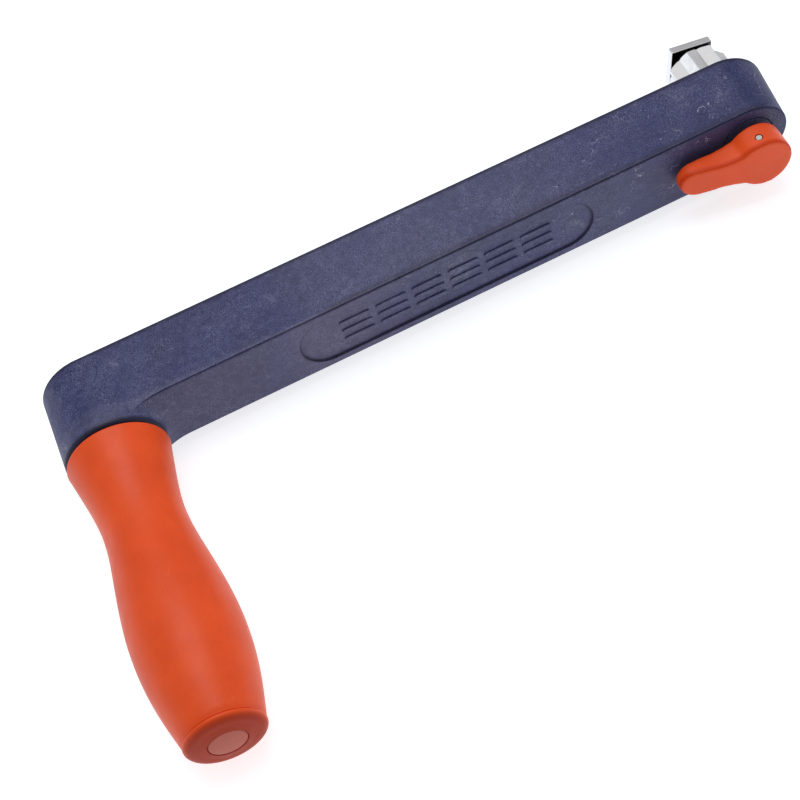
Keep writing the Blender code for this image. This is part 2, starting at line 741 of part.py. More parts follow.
def return_spring(lock):
    """A torsion spring inside the hub's cavity, around the spindle."""
    bottom = LEVER_BASE + SPRING_WIRE
    top = HUB_CAVITY_TOP - SPRING_WIRE - GAP
    count = int(SPRING_TURNS * 16)
    curve = bpy.data.curves.new("lever_return_spring", "CURVE")
    curve.dimensions = "3D"
    curve.bevel_depth = SPRING_WIRE
    curve.bevel_resolution = 1
    curve.use_fill_caps = True
    spline = curve.splines.new("POLY")
    spline.points.add(count)
    for i, point in enumerate(spline.points):
        angle = tau * SPRING_TURNS * i / count
        height = bottom + (top - bottom) * i / count
        point.co = (SPRING_RADIUS * cos(angle), SPRING_RADIUS * sin(angle), height, 1)
    place(bpy.data.objects.new("lever_return_spring", curve), lock, "steel")


# ---------------------------------------------------------------- grip


def grip_pivot(arm):
    at = (CENTRES, 0, 0)
    head_bottom = PIVOT_PLUG_TOP + GAP
    profile = [
        (PIVOT_TOP, 0),
        (PIVOT_TOP, PIVOT_RADIUS - 0.6 * MM),
        (PIVOT_TOP - 0.6 * MM, PIVOT_RADIUS),
        (PIVOT_HEAD_TOP, PIVOT_RADIUS),
        (PIVOT_HEAD_TOP, PIVOT_HEAD_RADIUS),
        (head_bottom, PIVOT_HEAD_RADIUS),
        (head_bottom, 0),
    ]
    pivot = turned("grip_pivot_pin", profile, arm, "steel", steps=COARSE, location=at)
    boolean(pivot, rod("pivot_thread", 3 * MM + GAP, PIVOT_TOP - 18 * MM, PIVOT_TOP + 1 * MM, arm,
                       cutter=True, steps=24, location=at))
    rod("pivot_cover_plug", PIVOT_HEAD_RADIUS, 0.1 * MM, PIVOT_PLUG_TOP, arm, "navy_plastic",
        location=at)
    ring("grip_thrust_washer", PIVOT_RADIUS + GAP, THRUST_WASHER_RADIUS, BOSS_TOP - 0.8 * MM,
         BOSS_TOP + 0.2 * MM, arm, "nylon", steps=COARSE, location=at)
    washer_bottom = PIVOT_TOP + GAP
    washer_top = washer_bottom + WASHER_THICKNESS
    ring("grip_retaining_washer", 3 * MM + GAP, GRIP_BORE - 0.5 * MM, washer_bottom, washer_top,
         arm, "steel", steps=COARSE, location=at)
    head_top = washer_top + GAP + 4 * MM
    screw = [
        (head_top, 0),
        (head_top, 4.6 * MM),
        (head_top - 0.4 * MM, 5 * MM),
        (washer_top + GAP, 5 * MM),
        (washer_top + GAP, 3 * MM),
        (PIVOT_TOP - 17 * MM, 3 * MM),
        (PIVOT_TOP - 17.6 * MM, 0),
    ]
    head = turned("grip_retaining_screw", screw, arm, "steel", steps=24, location=at)
    hexagon = circle(2.9 * MM, 6)
    boolean(head, prism("hex_socket", hexagon, head_top - 2.4 * MM, head_top + 1 * MM, arm,
                        cutter=True, location=at))


def grip_sleeve(grip):
    outer = through(GRIP_PROFILE, 3)
    rim = 0.8 * MM
    body = [(height, radius) for height, radius in outer if GRIP_BASE + rim < height]
    profile = [*reversed(body), (GRIP_BASE + rim, outer[0][1]), (GRIP_BASE, outer[0][1] - rim)]
    counterbore = CAP_SKIRT_RADIUS + GAP
    step = GRIP_SLEEVE_END - CAP_SKIRT_DEPTH - 0.7 * MM
    profile += [
        (GRIP_BASE, GRIP_BORE),
        (step, GRIP_BORE),
        (step, counterbore),
        (GRIP_SLEEVE_END, counterbore),
    ]
    turned("grip_sleeve", profile, grip, "orange_plastic", closed=True)


def grip_bushes(grip):
    inner = PIVOT_RADIUS + GAP
    outer = GRIP_BORE - GAP
    for name, bottom in (("inner", GRIP_BASE + 0.4 * MM), ("outer", PIVOT_TOP - BUSH_LENGTH)):
        ring(f"grip_bush_{name}", inner, outer, bottom, bottom + BUSH_LENGTH - 0.2 * MM, grip,
             "nylon", steps=COARSE)


def grip_end_cap(grip):
    base = GRIP_SLEEVE_END + GAP
    edge = CAP_EDGE_RADIUS
    rim_top = GRIP_END - CAP_DOME
    corner = arc((rim_top - edge, CAP_RADIUS - edge), (edge, edge), 0, pi / 2, 4)
    hole = PLUG_RADIUS + GAP
    skirt_bottom = GRIP_SLEEVE_END - CAP_SKIRT_DEPTH
    profile = [
        (GRIP_END - 0.1 * MM, hole),
        *corner,
        (base, CAP_RADIUS - 0.2 * MM),
        (base, CAP_SKIRT_RADIUS),
        (skirt_bottom, CAP_SKIRT_RADIUS),
        (skirt_bottom, CAP_SKIRT_RADIUS - 2 * MM),
        (base - 1 * MM, CAP_SKIRT_RADIUS - 2 * MM),
        (base - 1 * MM, hole),
    ]
    turned("grip_end_cap", profile, grip, "orange_plastic", closed=True)
    plug = [
        (GRIP_END, 0),
        (GRIP_END - 0.1 * MM, PLUG_RADIUS - 0.6 * MM),
        (GRIP_END - 0.5 * MM, PLUG_RADIUS),
        (base - 1 * MM, PLUG_RADIUS),
        (base - 1 * MM, 0),
    ]
    turned("grip_end_plug", plug, grip, "orange_plastic")


# ---------------------------------------------------------------- assembly


def lying_on_side():
    """The empty that turns the working pose on its side and sets it down over the origin."""
    root = empty("lying_on_side", None)
    root.rotation_euler = (-pi / 2, 0, pi)
    far_end = CENTRES + GRIP_BELLY
    low_end = -STAR_LENGTH - NECK_LENGTH - PLATE_THICKNESS
    root.location = (
        (far_end - ARM_BASE_END_RADIUS) / 2,
        (GRIP_END + low_end) / 2,
        GRIP_BELLY,
    )
    return root


def build():
    root = lying_on_side()
    arm = empty("arm_origin", root)
    lock = empty("lock_axis", root)
    grip = empty("grip_axis", root, (CENTRES, 0, 0))
    arm_body(arm)
    arm_cover(arm)
    foam_cores(arm)
    drive_spigot(arm)
    spigot_fittings(arm)
    lock_spindle(lock)
    lock_plate(lock)
    lock_lever(lock)
    cross_pin(lock)
    return_spring(lock)
    grip_pivot(arm)
    grip_sleeve(grip)
    grip_bushes(grip)
    grip_end_cap(grip)


clear_scene()
PARTS = new_collection("winch_handle")
CUTTERS = new_collection("cutters")
CUTTERS.hide_render = True
build()
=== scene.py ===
"""Looks of the locking winch handle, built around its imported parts.

The outer pieces are modelled again with finer curves, rounded edges and mould details, and stand
for their CAD nodes. The other nodes keep their meshes and get finished materials. Shapes are
drawn in the handle's working pose: the spigot's axis is Z, the arm runs along +X to the grip, its
underside is z = 0 and the spigot points down. One matrix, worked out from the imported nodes' boxes,
sets them into the frame.
"""

from math import asin, atan, atan2, cos, pi, radians, sin, tau

import bmesh
import bpy
import numpy as np
from mathutils import Matrix, Vector


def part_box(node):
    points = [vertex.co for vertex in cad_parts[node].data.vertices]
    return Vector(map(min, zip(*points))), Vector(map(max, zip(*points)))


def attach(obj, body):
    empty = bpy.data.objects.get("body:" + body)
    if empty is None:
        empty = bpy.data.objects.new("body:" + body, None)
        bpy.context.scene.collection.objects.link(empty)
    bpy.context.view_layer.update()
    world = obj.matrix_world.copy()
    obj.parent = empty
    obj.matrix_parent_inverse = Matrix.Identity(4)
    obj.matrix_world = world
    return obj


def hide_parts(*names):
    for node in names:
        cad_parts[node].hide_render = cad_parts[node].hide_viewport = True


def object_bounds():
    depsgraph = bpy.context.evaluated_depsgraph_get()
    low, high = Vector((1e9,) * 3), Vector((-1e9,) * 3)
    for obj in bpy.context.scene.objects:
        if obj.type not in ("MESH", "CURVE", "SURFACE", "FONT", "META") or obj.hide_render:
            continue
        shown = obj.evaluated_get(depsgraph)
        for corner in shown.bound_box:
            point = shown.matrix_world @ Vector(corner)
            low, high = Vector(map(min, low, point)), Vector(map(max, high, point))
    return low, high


MM = 0.001

PAST = 1 * MM  # how far a cutter reaches past the surface that it opens
GAP = 0.3 * MM  # how much wider a hole is than what goes into it

# Camera, at the photograph's angle
CAMERA_AZIMUTH = radians(-5.11)
CAMERA_ELEVATION = radians(54.52)
CAMERA_ROLL = radians(21.05)
CAMERA_DISTANCE = 627.8 * MM
CAMERA_AIM = Vector((-28.6, 2.35, 0.03)) * MM
LENS = 81.42
SENSOR = 36.0

# Studio
WORLD_STRENGTH = 1.0
ROOM_DARK = (0.30, 0.30, 0.31)
ROOM_BRIGHT = (0.90, 0.90, 0.90)
BRIGHT_SIDE = (0, 0.35, 0.94)  # towards the brightest part of the room
SIDE_SHARE = 0.48
SIDE_SHIFT = 0.14
FLOOR_TONES = ((0.49, 0.535, 0.59), (0.5, 0.545, 0.6))
FLOOR_GLOW = 0.74
FLOOR_HALF_WIDTH = 6.0
KEY_PLACE = (0.05, 0.28, 1.17)
KEY_SIZE = 0.7
KEY_POWER = 5.6

# Arm
ARM_HEIGHT_AT_SPIGOT = 24.4 * MM
ARM_HEIGHT_AT_GRIP = 26.8 * MM
ARM_BASE_HALF_WIDTH = 19 * MM
ARM_BASE_END_RADIUS = 18.5 * MM
ARM_TOP_HALF_WIDTH = 14.7 * MM
ARM_TOP_END_RADIUS = 16 * MM
ARM_EDGE_RADIUS = 1 * MM
BOSS_TOP = 33.4 * MM
BOSS_RADIUS = 19 * MM
BOSS_FILLET = 10 * MM
BOSS_EDGE_TURN = radians(57)
BOSS_ROUNDING = 2 * MM
WALL_ROWS = 8
FOOT_ROWS = 16
FOOT_COLUMNS = 28
GROOVE_RADIUS = 0.45 * MM
GROOVE_INSET = 0.3 * MM

# Panel in the arm's upper face, with rows of plain bars
PANEL_START = 63.2 * MM
PANEL_END = 180 * MM
PANEL_HALF_WIDTH = 11.3 * MM
PANEL_DEPTH = 0.9 * MM
PANEL_ROUNDING = 0.25 * MM
BAR_COLUMNS = 6
BAR_ROWS = 3
BAR_LENGTH = 12 * MM
BAR_HALF_WIDTH = 0.9 * MM
BAR_HEIGHT = 0.6 * MM
BAR_PITCH = 14.4 * MM
BAR_ROW_PITCH = 4.6 * MM

# Underside
COVER_START = 24 * MM
COVER_END = 230 * MM
COVER_HALF_WIDTH = 14.6 * MM
COVER_SEAT = 4.2 * MM
COVER_BOTTOM = 0.2 * MM
COVER_THICKNESS = 2.6 * MM
COVER_RIM = 0.4 * MM
COVER_SCREW_PLACES = (30 * MM, 127 * MM, 224 * MM)
COVER_SCREW_RADIUS = 1.5 * MM
COVER_SCREW_HOLE_TOP = 13.3 * MM
SCREW_HEAD_DEPTH = 1.7 * MM
SINK_RADIUS = 3.5 * MM
POCKETS = ((36 * MM, 120 * MM), (134 * MM, 218 * MM))
POCKET_HALF_WIDTH = 12 * MM
POCKET_ROOF = 19.5 * MM
PIVOT_HOLE_RADIUS = 6.3 * MM
PIVOT_SEAT_RADIUS = 11.3 * MM
PIVOT_SEAT_TOP = 6.3 * MM
PIVOT_RIM = 0.4 * MM
THRUST_SEAT_RADIUS = 12.3 * MM
THRUST_SEAT_DEPTH = 1.1 * MM

# Spigot and lock
STAR_FLATS = 17.46 * MM
STAR_LENGTH = 17.8 * MM
STAR_REACH = 13 * MM
STAR_END_RADIUS = 9.5 * MM
STAR_CHAMFER = 0.68  # height for each unit of radius
STAR_EDGE_RADIUS = 0.35 * MM
STAR_TURN = radians(12.5)
SHANK_SIDE = 15 * MM
SHANK_TOP = 14 * MM
TUBE_RADIUS = 7 * MM
TUBE_TOP = 23 * MM
SPINDLE_RADIUS = 3.5 * MM
SPINDLE_TOP = 36.4 * MM
SPINDLE_BORE_RADIUS = 4 * MM
BUSH_SEAT_RADIUS = 5.5 * MM
LOWER_BUSH_SEAT_TOP = -7.8 * MM
UPPER_BUSH_LENGTH = 8 * MM
NECK_RADIUS = 5 * MM
NECK_LENGTH = 2.8 * MM
PLATE_SIDE = 16.6 * MM
PLATE_THICKNESS = 3.2 * MM
PLATE_EDGE_RADIUS = 0.4 * MM
UNLOCK_TURN = radians(22.5)
PLATE_TURN = STAR_TURN + UNLOCK_TURN
PLATE_SCREW_RADIUS = 2 * MM
PLATE_SCREW_HEAD_RADIUS = 3.85 * MM
NUT_SEAT = 18.2 * MM
NUT_SEAT_RADIUS = 10.4 * MM
LEVER_BASE = 26.8 * MM
LEVER_TOP = 38.4 * MM
HUB_RADIUS = 10.6 * MM
HUB_CAVITY_RADIUS = 8.4 * MM
HUB_CAVITY_TOP = 31.4 * MM
PADDLE_START = 4 * MM
PADDLE_TIP = 31 * MM
PADDLE_ROOT_HALF_WIDTH = 7.8 * MM
PADDLE_WAIST = 1 * MM  # how far each side is drawn in
PADDLE_TIP_RADIUS = 6.2 * MM
PADDLE_ROOT_TOP = 38 * MM
PADDLE_TIP_TOP = 31.9 * MM
LEVER_BEND = 2.2 * MM
LEVER_BEND_LENGTH = 6 * MM
LEVER_FALL = (PADDLE_ROOT_TOP - PADDLE_TIP_TOP) / (PADDLE_TIP - PADDLE_START)
LEVER_VOXEL = 0.4 * MM
LEVER_SMOOTHING = 46
CROSS_PIN_RADIUS = 1.25 * MM
CROSS_PIN_HEIGHT = 33.5 * MM
STOP_REACH = 16 * MM
STOP_PIN_RADIUS = 1.5 * MM
STOP_SLOT_TOP = 30 * MM

# Grip
GRIP_BASE = 33.9 * MM
GRIP_SLEEVE_END = 151.3 * MM
GRIP_END = 154.8 * MM
GRIP_OUTLINE = (  # (height, radius)
    (GRIP_BASE, 19.2 * MM), (48.4 * MM, 16.7 * MM), (64 * MM, 15 * MM), (86 * MM, 17.1 * MM),
    (110 * MM, 19.6 * MM), (134 * MM, 18 * MM), (GRIP_SLEEVE_END, 14.2 * MM),
)
GRIP_BORE = 8.6 * MM
CAP_RADIUS = 14.4 * MM
CAP_EDGE_DEPTH = 2.3 * MM
CAP_EDGE_WIDTH = 4.4 * MM
CAP_DOME = 0.6 * MM
CAP_SKIRT_RADIUS = 11 * MM
CAP_SKIRT_DEPTH = 5 * MM
CAP_SEAM = 0.06 * MM
PLUG_RADIUS = 6.75 * MM
PLUG_EDGE_RADIUS = 0.5 * MM

# Tones of the plastics, in the order in which they are laid
NAVY_DEEP = (0.016, 0.018, 0.082)
NAVY_CLOUD = (0.034, 0.036, 0.118)
NAVY_MOTTLE = (0.08, 0.086, 0.2)
NAVY_GRAIN = (0.18, 0.19, 0.34)
NAVY_PIT = (0.006, 0.006, 0.034)
NAVY_SCUFF = (0.32, 0.33, 0.43)
NAVY_SCRATCH = (0.42, 0.43, 0.52)
# A lighter tone for the arm's upper face towards the grip
NAVY_UPPER_FACE_TONE = (0.30, 0.26, 0.34)
# Painted shade along the navy moulding's edges
NAVY_EDGE_SHADE = (0.006, 0.006, 0.03)
# The last of each three orange tones is painted shade for the grip's flat end
ORANGE_TONES = ((0.72, 0.067, 0.007), (0.80, 0.082, 0.010), (0.24, 0.012, 0.001))
PLUG_TONES = ((0.68, 0.105, 0.055), (0.76, 0.125, 0.07), (0.36, 0.095, 0.065))
ORANGE_MOTTLE = (0.84, 0.16, 0.05)
ORANGE_SPECK = (0.30, 0.03, 0.012)
ORANGE_SCRATCH = (0.88, 0.35, 0.24)
# Painted shade along the lever's edge, below its face
ORANGE_RIDGE_SHADE = (0.44, 0.02, 0.001)
# Painted shade for the narrow gap between the star and the plate
GAP_SHADE = (0.06, 0.06, 0.06)


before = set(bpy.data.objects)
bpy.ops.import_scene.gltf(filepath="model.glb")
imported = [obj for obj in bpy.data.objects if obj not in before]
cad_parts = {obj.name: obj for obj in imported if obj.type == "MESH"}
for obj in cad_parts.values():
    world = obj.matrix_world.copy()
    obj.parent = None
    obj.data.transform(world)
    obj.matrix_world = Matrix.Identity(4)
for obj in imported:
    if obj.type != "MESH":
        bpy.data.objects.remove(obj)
CAD_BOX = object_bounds()


def middle(node):
    low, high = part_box(node)
    return (low + high) / 2


SPIGOT = middle("lock_spindle")
CENTRES = SPIGOT.x - middle("grip_sleeve").x
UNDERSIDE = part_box("arm_body")[1].y
WORKING_POSE = Matrix.Translation((SPIGOT.x, UNDERSIDE, SPIGOT.z)) @ Matrix(
    ((-1, 0, 0, 0), (0, 0, -1, 0), (0, -1, 0, 0), (0, 0, 0, 1))
)
ARM_SLOPE = (ARM_HEIGHT_AT_GRIP - ARM_HEIGHT_AT_SPIGOT) / CENTRES


# ---------------- shapes


def new_object(name, mesh):
    obj = bpy.data.objects.new(name, mesh)
    bpy.context.scene.collection.objects.link(obj)
    return obj


def from_bmesh(name, work):
    mesh = bpy.data.meshes.new(name)
    bmesh.ops.recalc_face_normals(work, faces=work.faces)
    work.to_mesh(mesh)
    work.free()
    return new_object(name, mesh)


def arc(centre, radii, start, end, count):
    """Points on an elliptical arc from one angle to another, both ends included."""
    angles = [start + (end - start) * i / count for i in range(count + 1)]
    return [(centre[0] + radii[0] * cos(a), centre[1] + radii[1] * sin(a)) for a in angles]


def obround(start, end, half_width, grown=0.0, count=24):
    """A slot outline along X, grown outwards on every side."""
    radius = half_width + grown
    right = arc((end - half_width, 0), (radius, radius), -pi / 2, pi / 2, count)
    left = arc((start + half_width, 0), (radius, radius), pi / 2, 3 * pi / 2, count)
    return right + left


def regular(radius, count, turn=0.0):
    """A regular polygon whose first corner stands at the given angle."""
    angles = [turn + tau * i / count for i in range(count)]
    return [(radius * cos(a), radius * sin(a)) for a in angles]


def star(flats, turn):
    """Two equal squares, an eighth of a turn apart: eight points and eight valleys."""
    tips = regular(flats / 2 * 2**0.5, 8, turn)
    valleys = regular(flats / 2 / cos(pi / 8), 8, turn + pi / 8)
    return [point for pair in zip(tips, valleys) for point in pair]


def lofted(name, rings):
    """A closed solid through equal rings of 3-D points, from its lowest ring to its highest."""
    work = bmesh.new()
    rows = [[work.verts.new(point) for point in ring] for ring in rings]
    for low, high in zip(rows, rows[1:]):
        for i in range(len(low)):
            work.faces.new((low[i - 1], low[i], high[i], high[i - 1]))
    work.faces.new(rows[0])
    work.faces.new(rows[-1])
    return from_bmesh(name, work)


def prism(name, outline, bottom, top):
    return lofted(name, [[(x, y, z) for x, y in outline] for z in (bottom, top)])


def oblong(name, start, end, half_width, rows, count=24):
    """A solid of obround rows along X, each given as (how far it is grown, its height)."""
    return lofted(name, [
        [(x, y, z) for x, y in obround(start, end, half_width, grown, count)]
        for grown, z in rows
    ])


def turned(name, profile, closed=False, steps=96, centre=0.0):
    """A solid of revolution about Z at x = centre. The (height, radius) profile runs down its
    outer side; a closed one is a ring, and its last points come back up the inner side."""
    work = bmesh.new()
    points = [work.verts.new((radius, 0, height)) for height, radius in profile]
    edges = [work.edges.new(pair) for pair in zip(points, points[1:])]
    if closed:
        edges.append(work.edges.new((points[-1], points[0])))
    bmesh.ops.spin(work, geom=points + edges, cent=(0, 0, 0), axis=(0, 0, 1), angle=tau,
                   steps=steps, use_merge=True)
    bmesh.ops.remove_doubles(work, verts=work.verts, dist=0.001 * MM)
    bmesh.ops.translate(work, verts=work.verts, vec=(centre, 0, 0))
    return from_bmesh(name, work)


def rod(name, radius, bottom, top, steps=64, centre=0.0):
    return turned(name, [(top, 0), (top, radius), (bottom, radius), (bottom, 0)], steps=steps,
                  centre=centre)


def rounded(height, radius, rounding, start):
    """The quarter of a rounded edge: (height, radius) points around its corner. It starts at
    the given angle, 0 for an upper edge and pi / 2 for a lower one."""
    way = 1 if start == 0 else -1
    centre = (height - way * rounding, radius - rounding)
    return arc(centre, (rounding, rounding), start, start + pi / 2, 5)


def modify(obj, kind, **settings):
    modifier = obj.modifiers.new(kind.lower(), kind)
    for key, value in settings.items():
        setattr(modifier, key, value)


def bevel(obj, width, segments=3, angle=40):
    """Rounds the edges at which two faces meet at more than the angle."""
    modify(obj, "BEVEL", width=width, segments=segments, limit_method="ANGLE",
           angle_limit=radians(angle), use_clamp_overlap=True)
    settled(obj)


def joined(obj, tools, operation="DIFFERENCE"):
    """Cuts or adds the tool objects, makes the result the object's mesh and removes them."""
    for tool in tools:
        modify(obj, "BOOLEAN", object=tool, operation=operation, solver="MANIFOLD")
    settled(obj)
    for tool in tools:
        bpy.data.objects.remove(tool, do_unlink=True)
    return obj


def evaluated_mesh(obj):
    graph = bpy.context.evaluated_depsgraph_get()
    return bpy.data.meshes.new_from_object(obj.evaluated_get(graph))


def solid_of(curve):
    """A welded mesh object of a thick curve, which is removed."""
    guide = new_object(curve.name + "_guide", curve)
    mesh = evaluated_mesh(guide)
    bpy.data.objects.remove(guide, do_unlink=True)
    work = bmesh.new()
    work.from_mesh(mesh)
    bmesh.ops.remove_doubles(work, verts=work.verts, dist=0.001 * MM)
    return from_bmesh(curve.name, work)


def settled(obj):
    """Makes what the modifiers give the object's own mesh."""
    mesh = evaluated_mesh(obj)
    obj.modifiers.clear()
    obj.data = mesh
    mesh.name = obj.name


def piece(obj, body, material, slot, *nodes, angle=35):
    """Sets a finished shape into the frame: it moves with a body and stands for its nodes."""
    obj.data.shade_smooth()
    obj.data.set_sharp_from_angle(angle=radians(angle))
    modify(obj, "WEIGHTED_NORMAL", keep_sharp=True, weight=80)
    obj.data.materials.clear()
    obj.data.materials.append(material)
    obj.matrix_world = WORKING_POSE
    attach(obj, body)
    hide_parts(*nodes)


def smooth_curve(points, count):
    """A natural cubic spline through (height, radius) points, with count steps a stretch."""
    heights, radii = np.array(points).T
    steps = np.diff(heights)
    size = len(points)
    system = np.eye(size)
    wanted = np.zeros(size)
    for i in range(1, size - 1):
        system[i, i - 1:i + 2] = (steps[i - 1], 2 * (steps[i - 1] + steps[i]), steps[i])
        rises = np.diff(radii)[i - 1:i + 1] / steps[i - 1:i + 1]
        wanted[i] = 6 * (rises[1] - rises[0])
    bends = np.linalg.solve(system, wanted)
    found = []
    for i in range(size - 1):
        for t in np.linspace(0, 1, count, endpoint=False):
            a, b = 1 - t, t
            bend = (a**3 - a) * bends[i] + (b**3 - b) * bends[i + 1]
            radius = a * radii[i] + b * radii[i + 1] + bend * steps[i] ** 2 / 6
            found.append((float(heights[i] + t * steps[i]), float(radius)))
    return found + [points[-1]]


# ---------------- arm


def arm_height(x):
    return ARM_HEIGHT_AT_SPIGOT + ARM_SLOPE * x


def foot_point(radius, lift, angle):
    """A point on the boss's foot; the angle is measured from the side that faces the spigot."""
    x = CENTRES - radius * cos(angle)
    low = arm_height(x)
    return x, radius * sin(angle), low + (BOSS_TOP - BOSS_ROUNDING - low) * lift


def foot_grid():
    """Rows of points across the boss's concave foot, each from the arm's -Y edge to its +Y
    edge, from the arm's top to the boss's rim."""
    grid = []
    for row in range(FOOT_ROWS + 1):
        rise = pi / 2 * row / FOOT_ROWS
        radius = BOSS_RADIUS + BOSS_FILLET * (1 - sin(rise))
        edge = asin(ARM_TOP_HALF_WIDTH / radius)
        edge += (BOSS_EDGE_TURN - edge) * (row / FOOT_ROWS) ** 3
        angles = [edge * (2 * i / FOOT_COLUMNS - 1) for i in range(FOOT_COLUMNS + 1)]
        grid.append([foot_point(radius, 1 - cos(rise), angle) for angle in angles])
    return grid


def spigot_end_edge(inset=0.0):
    """The upper edge round the spigot's end, from the arm's +Y side to its -Y side."""
    radii = (ARM_TOP_END_RADIUS - inset, ARM_TOP_HALF_WIDTH - inset)
    return [(x, y, arm_height(x)) for x, y in arc((0, 0), radii, pi / 2, 3 * pi / 2, 48)]


def base_point(x, y):
    """The point of the underside's outline below a point of the upper outline."""
    for centre, beyond in ((0.0, x < 0), (CENTRES, x > CENTRES)):
        if beyond:
            angle = atan2(y, x - centre)
            base_x = centre + ARM_BASE_END_RADIUS * cos(angle)
            return base_x, ARM_BASE_HALF_WIDTH * sin(angle), 0
    return x, ARM_BASE_HALF_WIDTH * (1 if y > 0 else -1), 0


def arm_block():
    """The arm's outer block, lofted from its underside's outline to its narrower upper outline,
    which rises in a concave foot to the round boss under the grip."""
    grid = foot_grid()
    turn = pi - BOSS_EDGE_TURN
    rim = arc((CENTRES, 0), (BOSS_RADIUS, BOSS_RADIUS), -turn, turn, 72)
    near = [row[0] for row in grid[:-1]]
    far = [row[-1] for row in reversed(grid[:-1])]
    spigot = spigot_end_edge()
    work = bmesh.new()
    outline = [(x, y, BOSS_TOP - BOSS_ROUNDING) for x, y in rim] + far + spigot + near
    walls = wall_rows(work, outline)
    upper = walls[-1]
    rows = [[work.verts.new(point) for point in row[1:-1]] for row in grid]
    edges = [*range(len(upper) - len(near), len(upper)), 0]
    others = [*range(len(rim) + len(far) - 1, len(rim) - 2, -1)]
    rows = [[upper[a], *row, upper[b]] for row, a, b in zip(rows, edges, others)]
    for first, second in zip(rows, rows[1:]):
        for i in range(FOOT_COLUMNS):
            work.faces.new((first[i], first[i + 1], second[i + 1], second[i]))
    round_rim(work, [*rows[-1], *reversed(upper[1:len(rim) - 1])])
    start = len(rim) + len(far)
    work.faces.new([*rows[0], *upper[start:start + len(spigot)]])
    work.faces.new(walls[0])
    return from_bmesh("arm", work)


def wall_rows(work, outline):
    """The arm's drafted side wall in rows from the underside's outline to the upper one. Beside
    the boss its plan is smoothed, so that the round end grows out of the flat sides."""
    lower = [base_point(x, y) for x, y, z in outline]
    rows = []
    for row in range(WALL_ROWS + 1):
        t = row / WALL_ROWS
        rows.append([work.verts.new(Vector(a).lerp(Vector(b), t))
                     for a, b in zip(lower, outline)])
    for below, above in zip(rows, rows[1:]):
        for i in range(len(below)):
            work.faces.new((below[i - 1], below[i], above[i], above[i - 1]))
    reach = 1.6 * BOSS_RADIUS
    beside = [v for row in rows[1:-1] for v in row
              if CENTRES - reach < v.co.x < CENTRES and abs(v.co.y) > ARM_TOP_HALF_WIDTH / 2]
    for _ in range(40):
        bmesh.ops.smooth_vert(work, verts=beside, factor=0.5, use_axis_y=True)
    return rows


def round_rim(work, loop):
    """Rings that round the boss's rim over, from a loop of vertices, and its flat top."""
    axis = Vector((CENTRES, 0, 0))
    starts = [v.co - axis for v in loop]
    below = loop
    for step in range(1, 7):
        turn = pi / 2 * step / 6
        inwards, up = BOSS_ROUNDING * (1 - cos(turn)), BOSS_ROUNDING * sin(turn)
        ring = []
        for start in starts:
            radius = Vector((start.x, start.y, 0))
            ring.append(work.verts.new(axis + start - radius.normalized() * inwards
                                       + Vector((0, 0, up))))
        for i in range(len(ring)):
            work.faces.new((below[i - 1], below[i], ring[i], ring[i - 1]))
        below = ring
    work.faces.new(below)


def parting_groove():
    """A thin round bead along the upper edge, which cuts the mould's parting groove. It fades
    out up the sides of the boss."""
    grid = foot_grid()
    kept = FOOT_ROWS * 3 // 4
    near = [row[0] for row in grid[:kept]]
    far = [row[-1] for row in grid[:kept]]
    inset = Vector((0, GROOVE_INSET, GROOVE_INSET))
    path = [Vector(p) + Vector((0, -inset.y, -inset.z)) for p in reversed(far)]
    path += [Vector(p) - Vector((0, 0, inset.z)) for p in spigot_end_edge(GROOVE_INSET)]
    path += [Vector(p) + Vector((0, inset.y, -inset.z)) for p in near]
    curve = bpy.data.curves.new("parting_groove", "CURVE")
    curve.dimensions = "3D"
    curve.bevel_depth = GROOVE_RADIUS
    curve.bevel_resolution = 2
    curve.use_fill_caps = True
    spline = curve.splines.new("POLY")
    spline.points.add(len(path) - 1)
    for i, (point, place) in enumerate(zip(spline.points, path)):
        point.co = (*place, 1)
        point.radius = min(1.0, (min(i, len(path) - 1 - i) + 1) / kept)
    return solid_of(curve)


def lying_slope(obj):
    """Tilts a shape drawn level at the spigot's end to follow the arm's upper face."""
    obj.data.transform(Matrix.Rotation(-atan(ARM_SLOPE), 4, "Y"))
    return obj


def panel_cut():
    """The panel's cutter: a rounded floor edge below, a rounded rim above."""
    floor = ARM_HEIGHT_AT_SPIGOT - PANEL_DEPTH
    r = PANEL_ROUNDING
    turns = [pi / 2 * i / 4 for i in range(5)]
    rows = [(-r * (1 - sin(a)), floor + r * (1 - cos(a))) for a in turns]
    rim = ARM_HEIGHT_AT_SPIGOT
    rows += [(r * (1 - cos(a)), rim - r * (1 - sin(a))) for a in turns]
    rows += [(r, rim + PAST)]
    return lying_slope(oblong("panel_cut", PANEL_START, PANEL_END, PANEL_HALF_WIDTH, rows))


def panel_bars():
    """Rows of plain raised bars with rounded ends and edges, on the panel's floor."""
    floor = ARM_HEIGHT_AT_SPIGOT - PANEL_DEPTH
    top = floor + BAR_HEIGHT
    r = PANEL_ROUNDING
    turns = [pi / 2 * i / 3 for i in range(4)]
    rows = [(0, floor - 0.5 * MM)] + [(-r * (1 - cos(a)), top - r * (1 - sin(a))) for a in turns]
    bars = []
    for column in range(BAR_COLUMNS):
        x = (PANEL_START + PANEL_END) / 2 + BAR_PITCH * (column - (BAR_COLUMNS - 1) / 2)
        for row in range(BAR_ROWS):
            bar = oblong(f"bar_{column}_{row}", x - BAR_LENGTH / 2, x + BAR_LENGTH / 2,
                         BAR_HALF_WIDTH, rows, 6)
            y = BAR_ROW_PITCH * (row - (BAR_ROWS - 1) / 2)
            bar.data.transform(Matrix.Translation((0, y, 0)))
            bars.append(lying_slope(bar))
    return bars


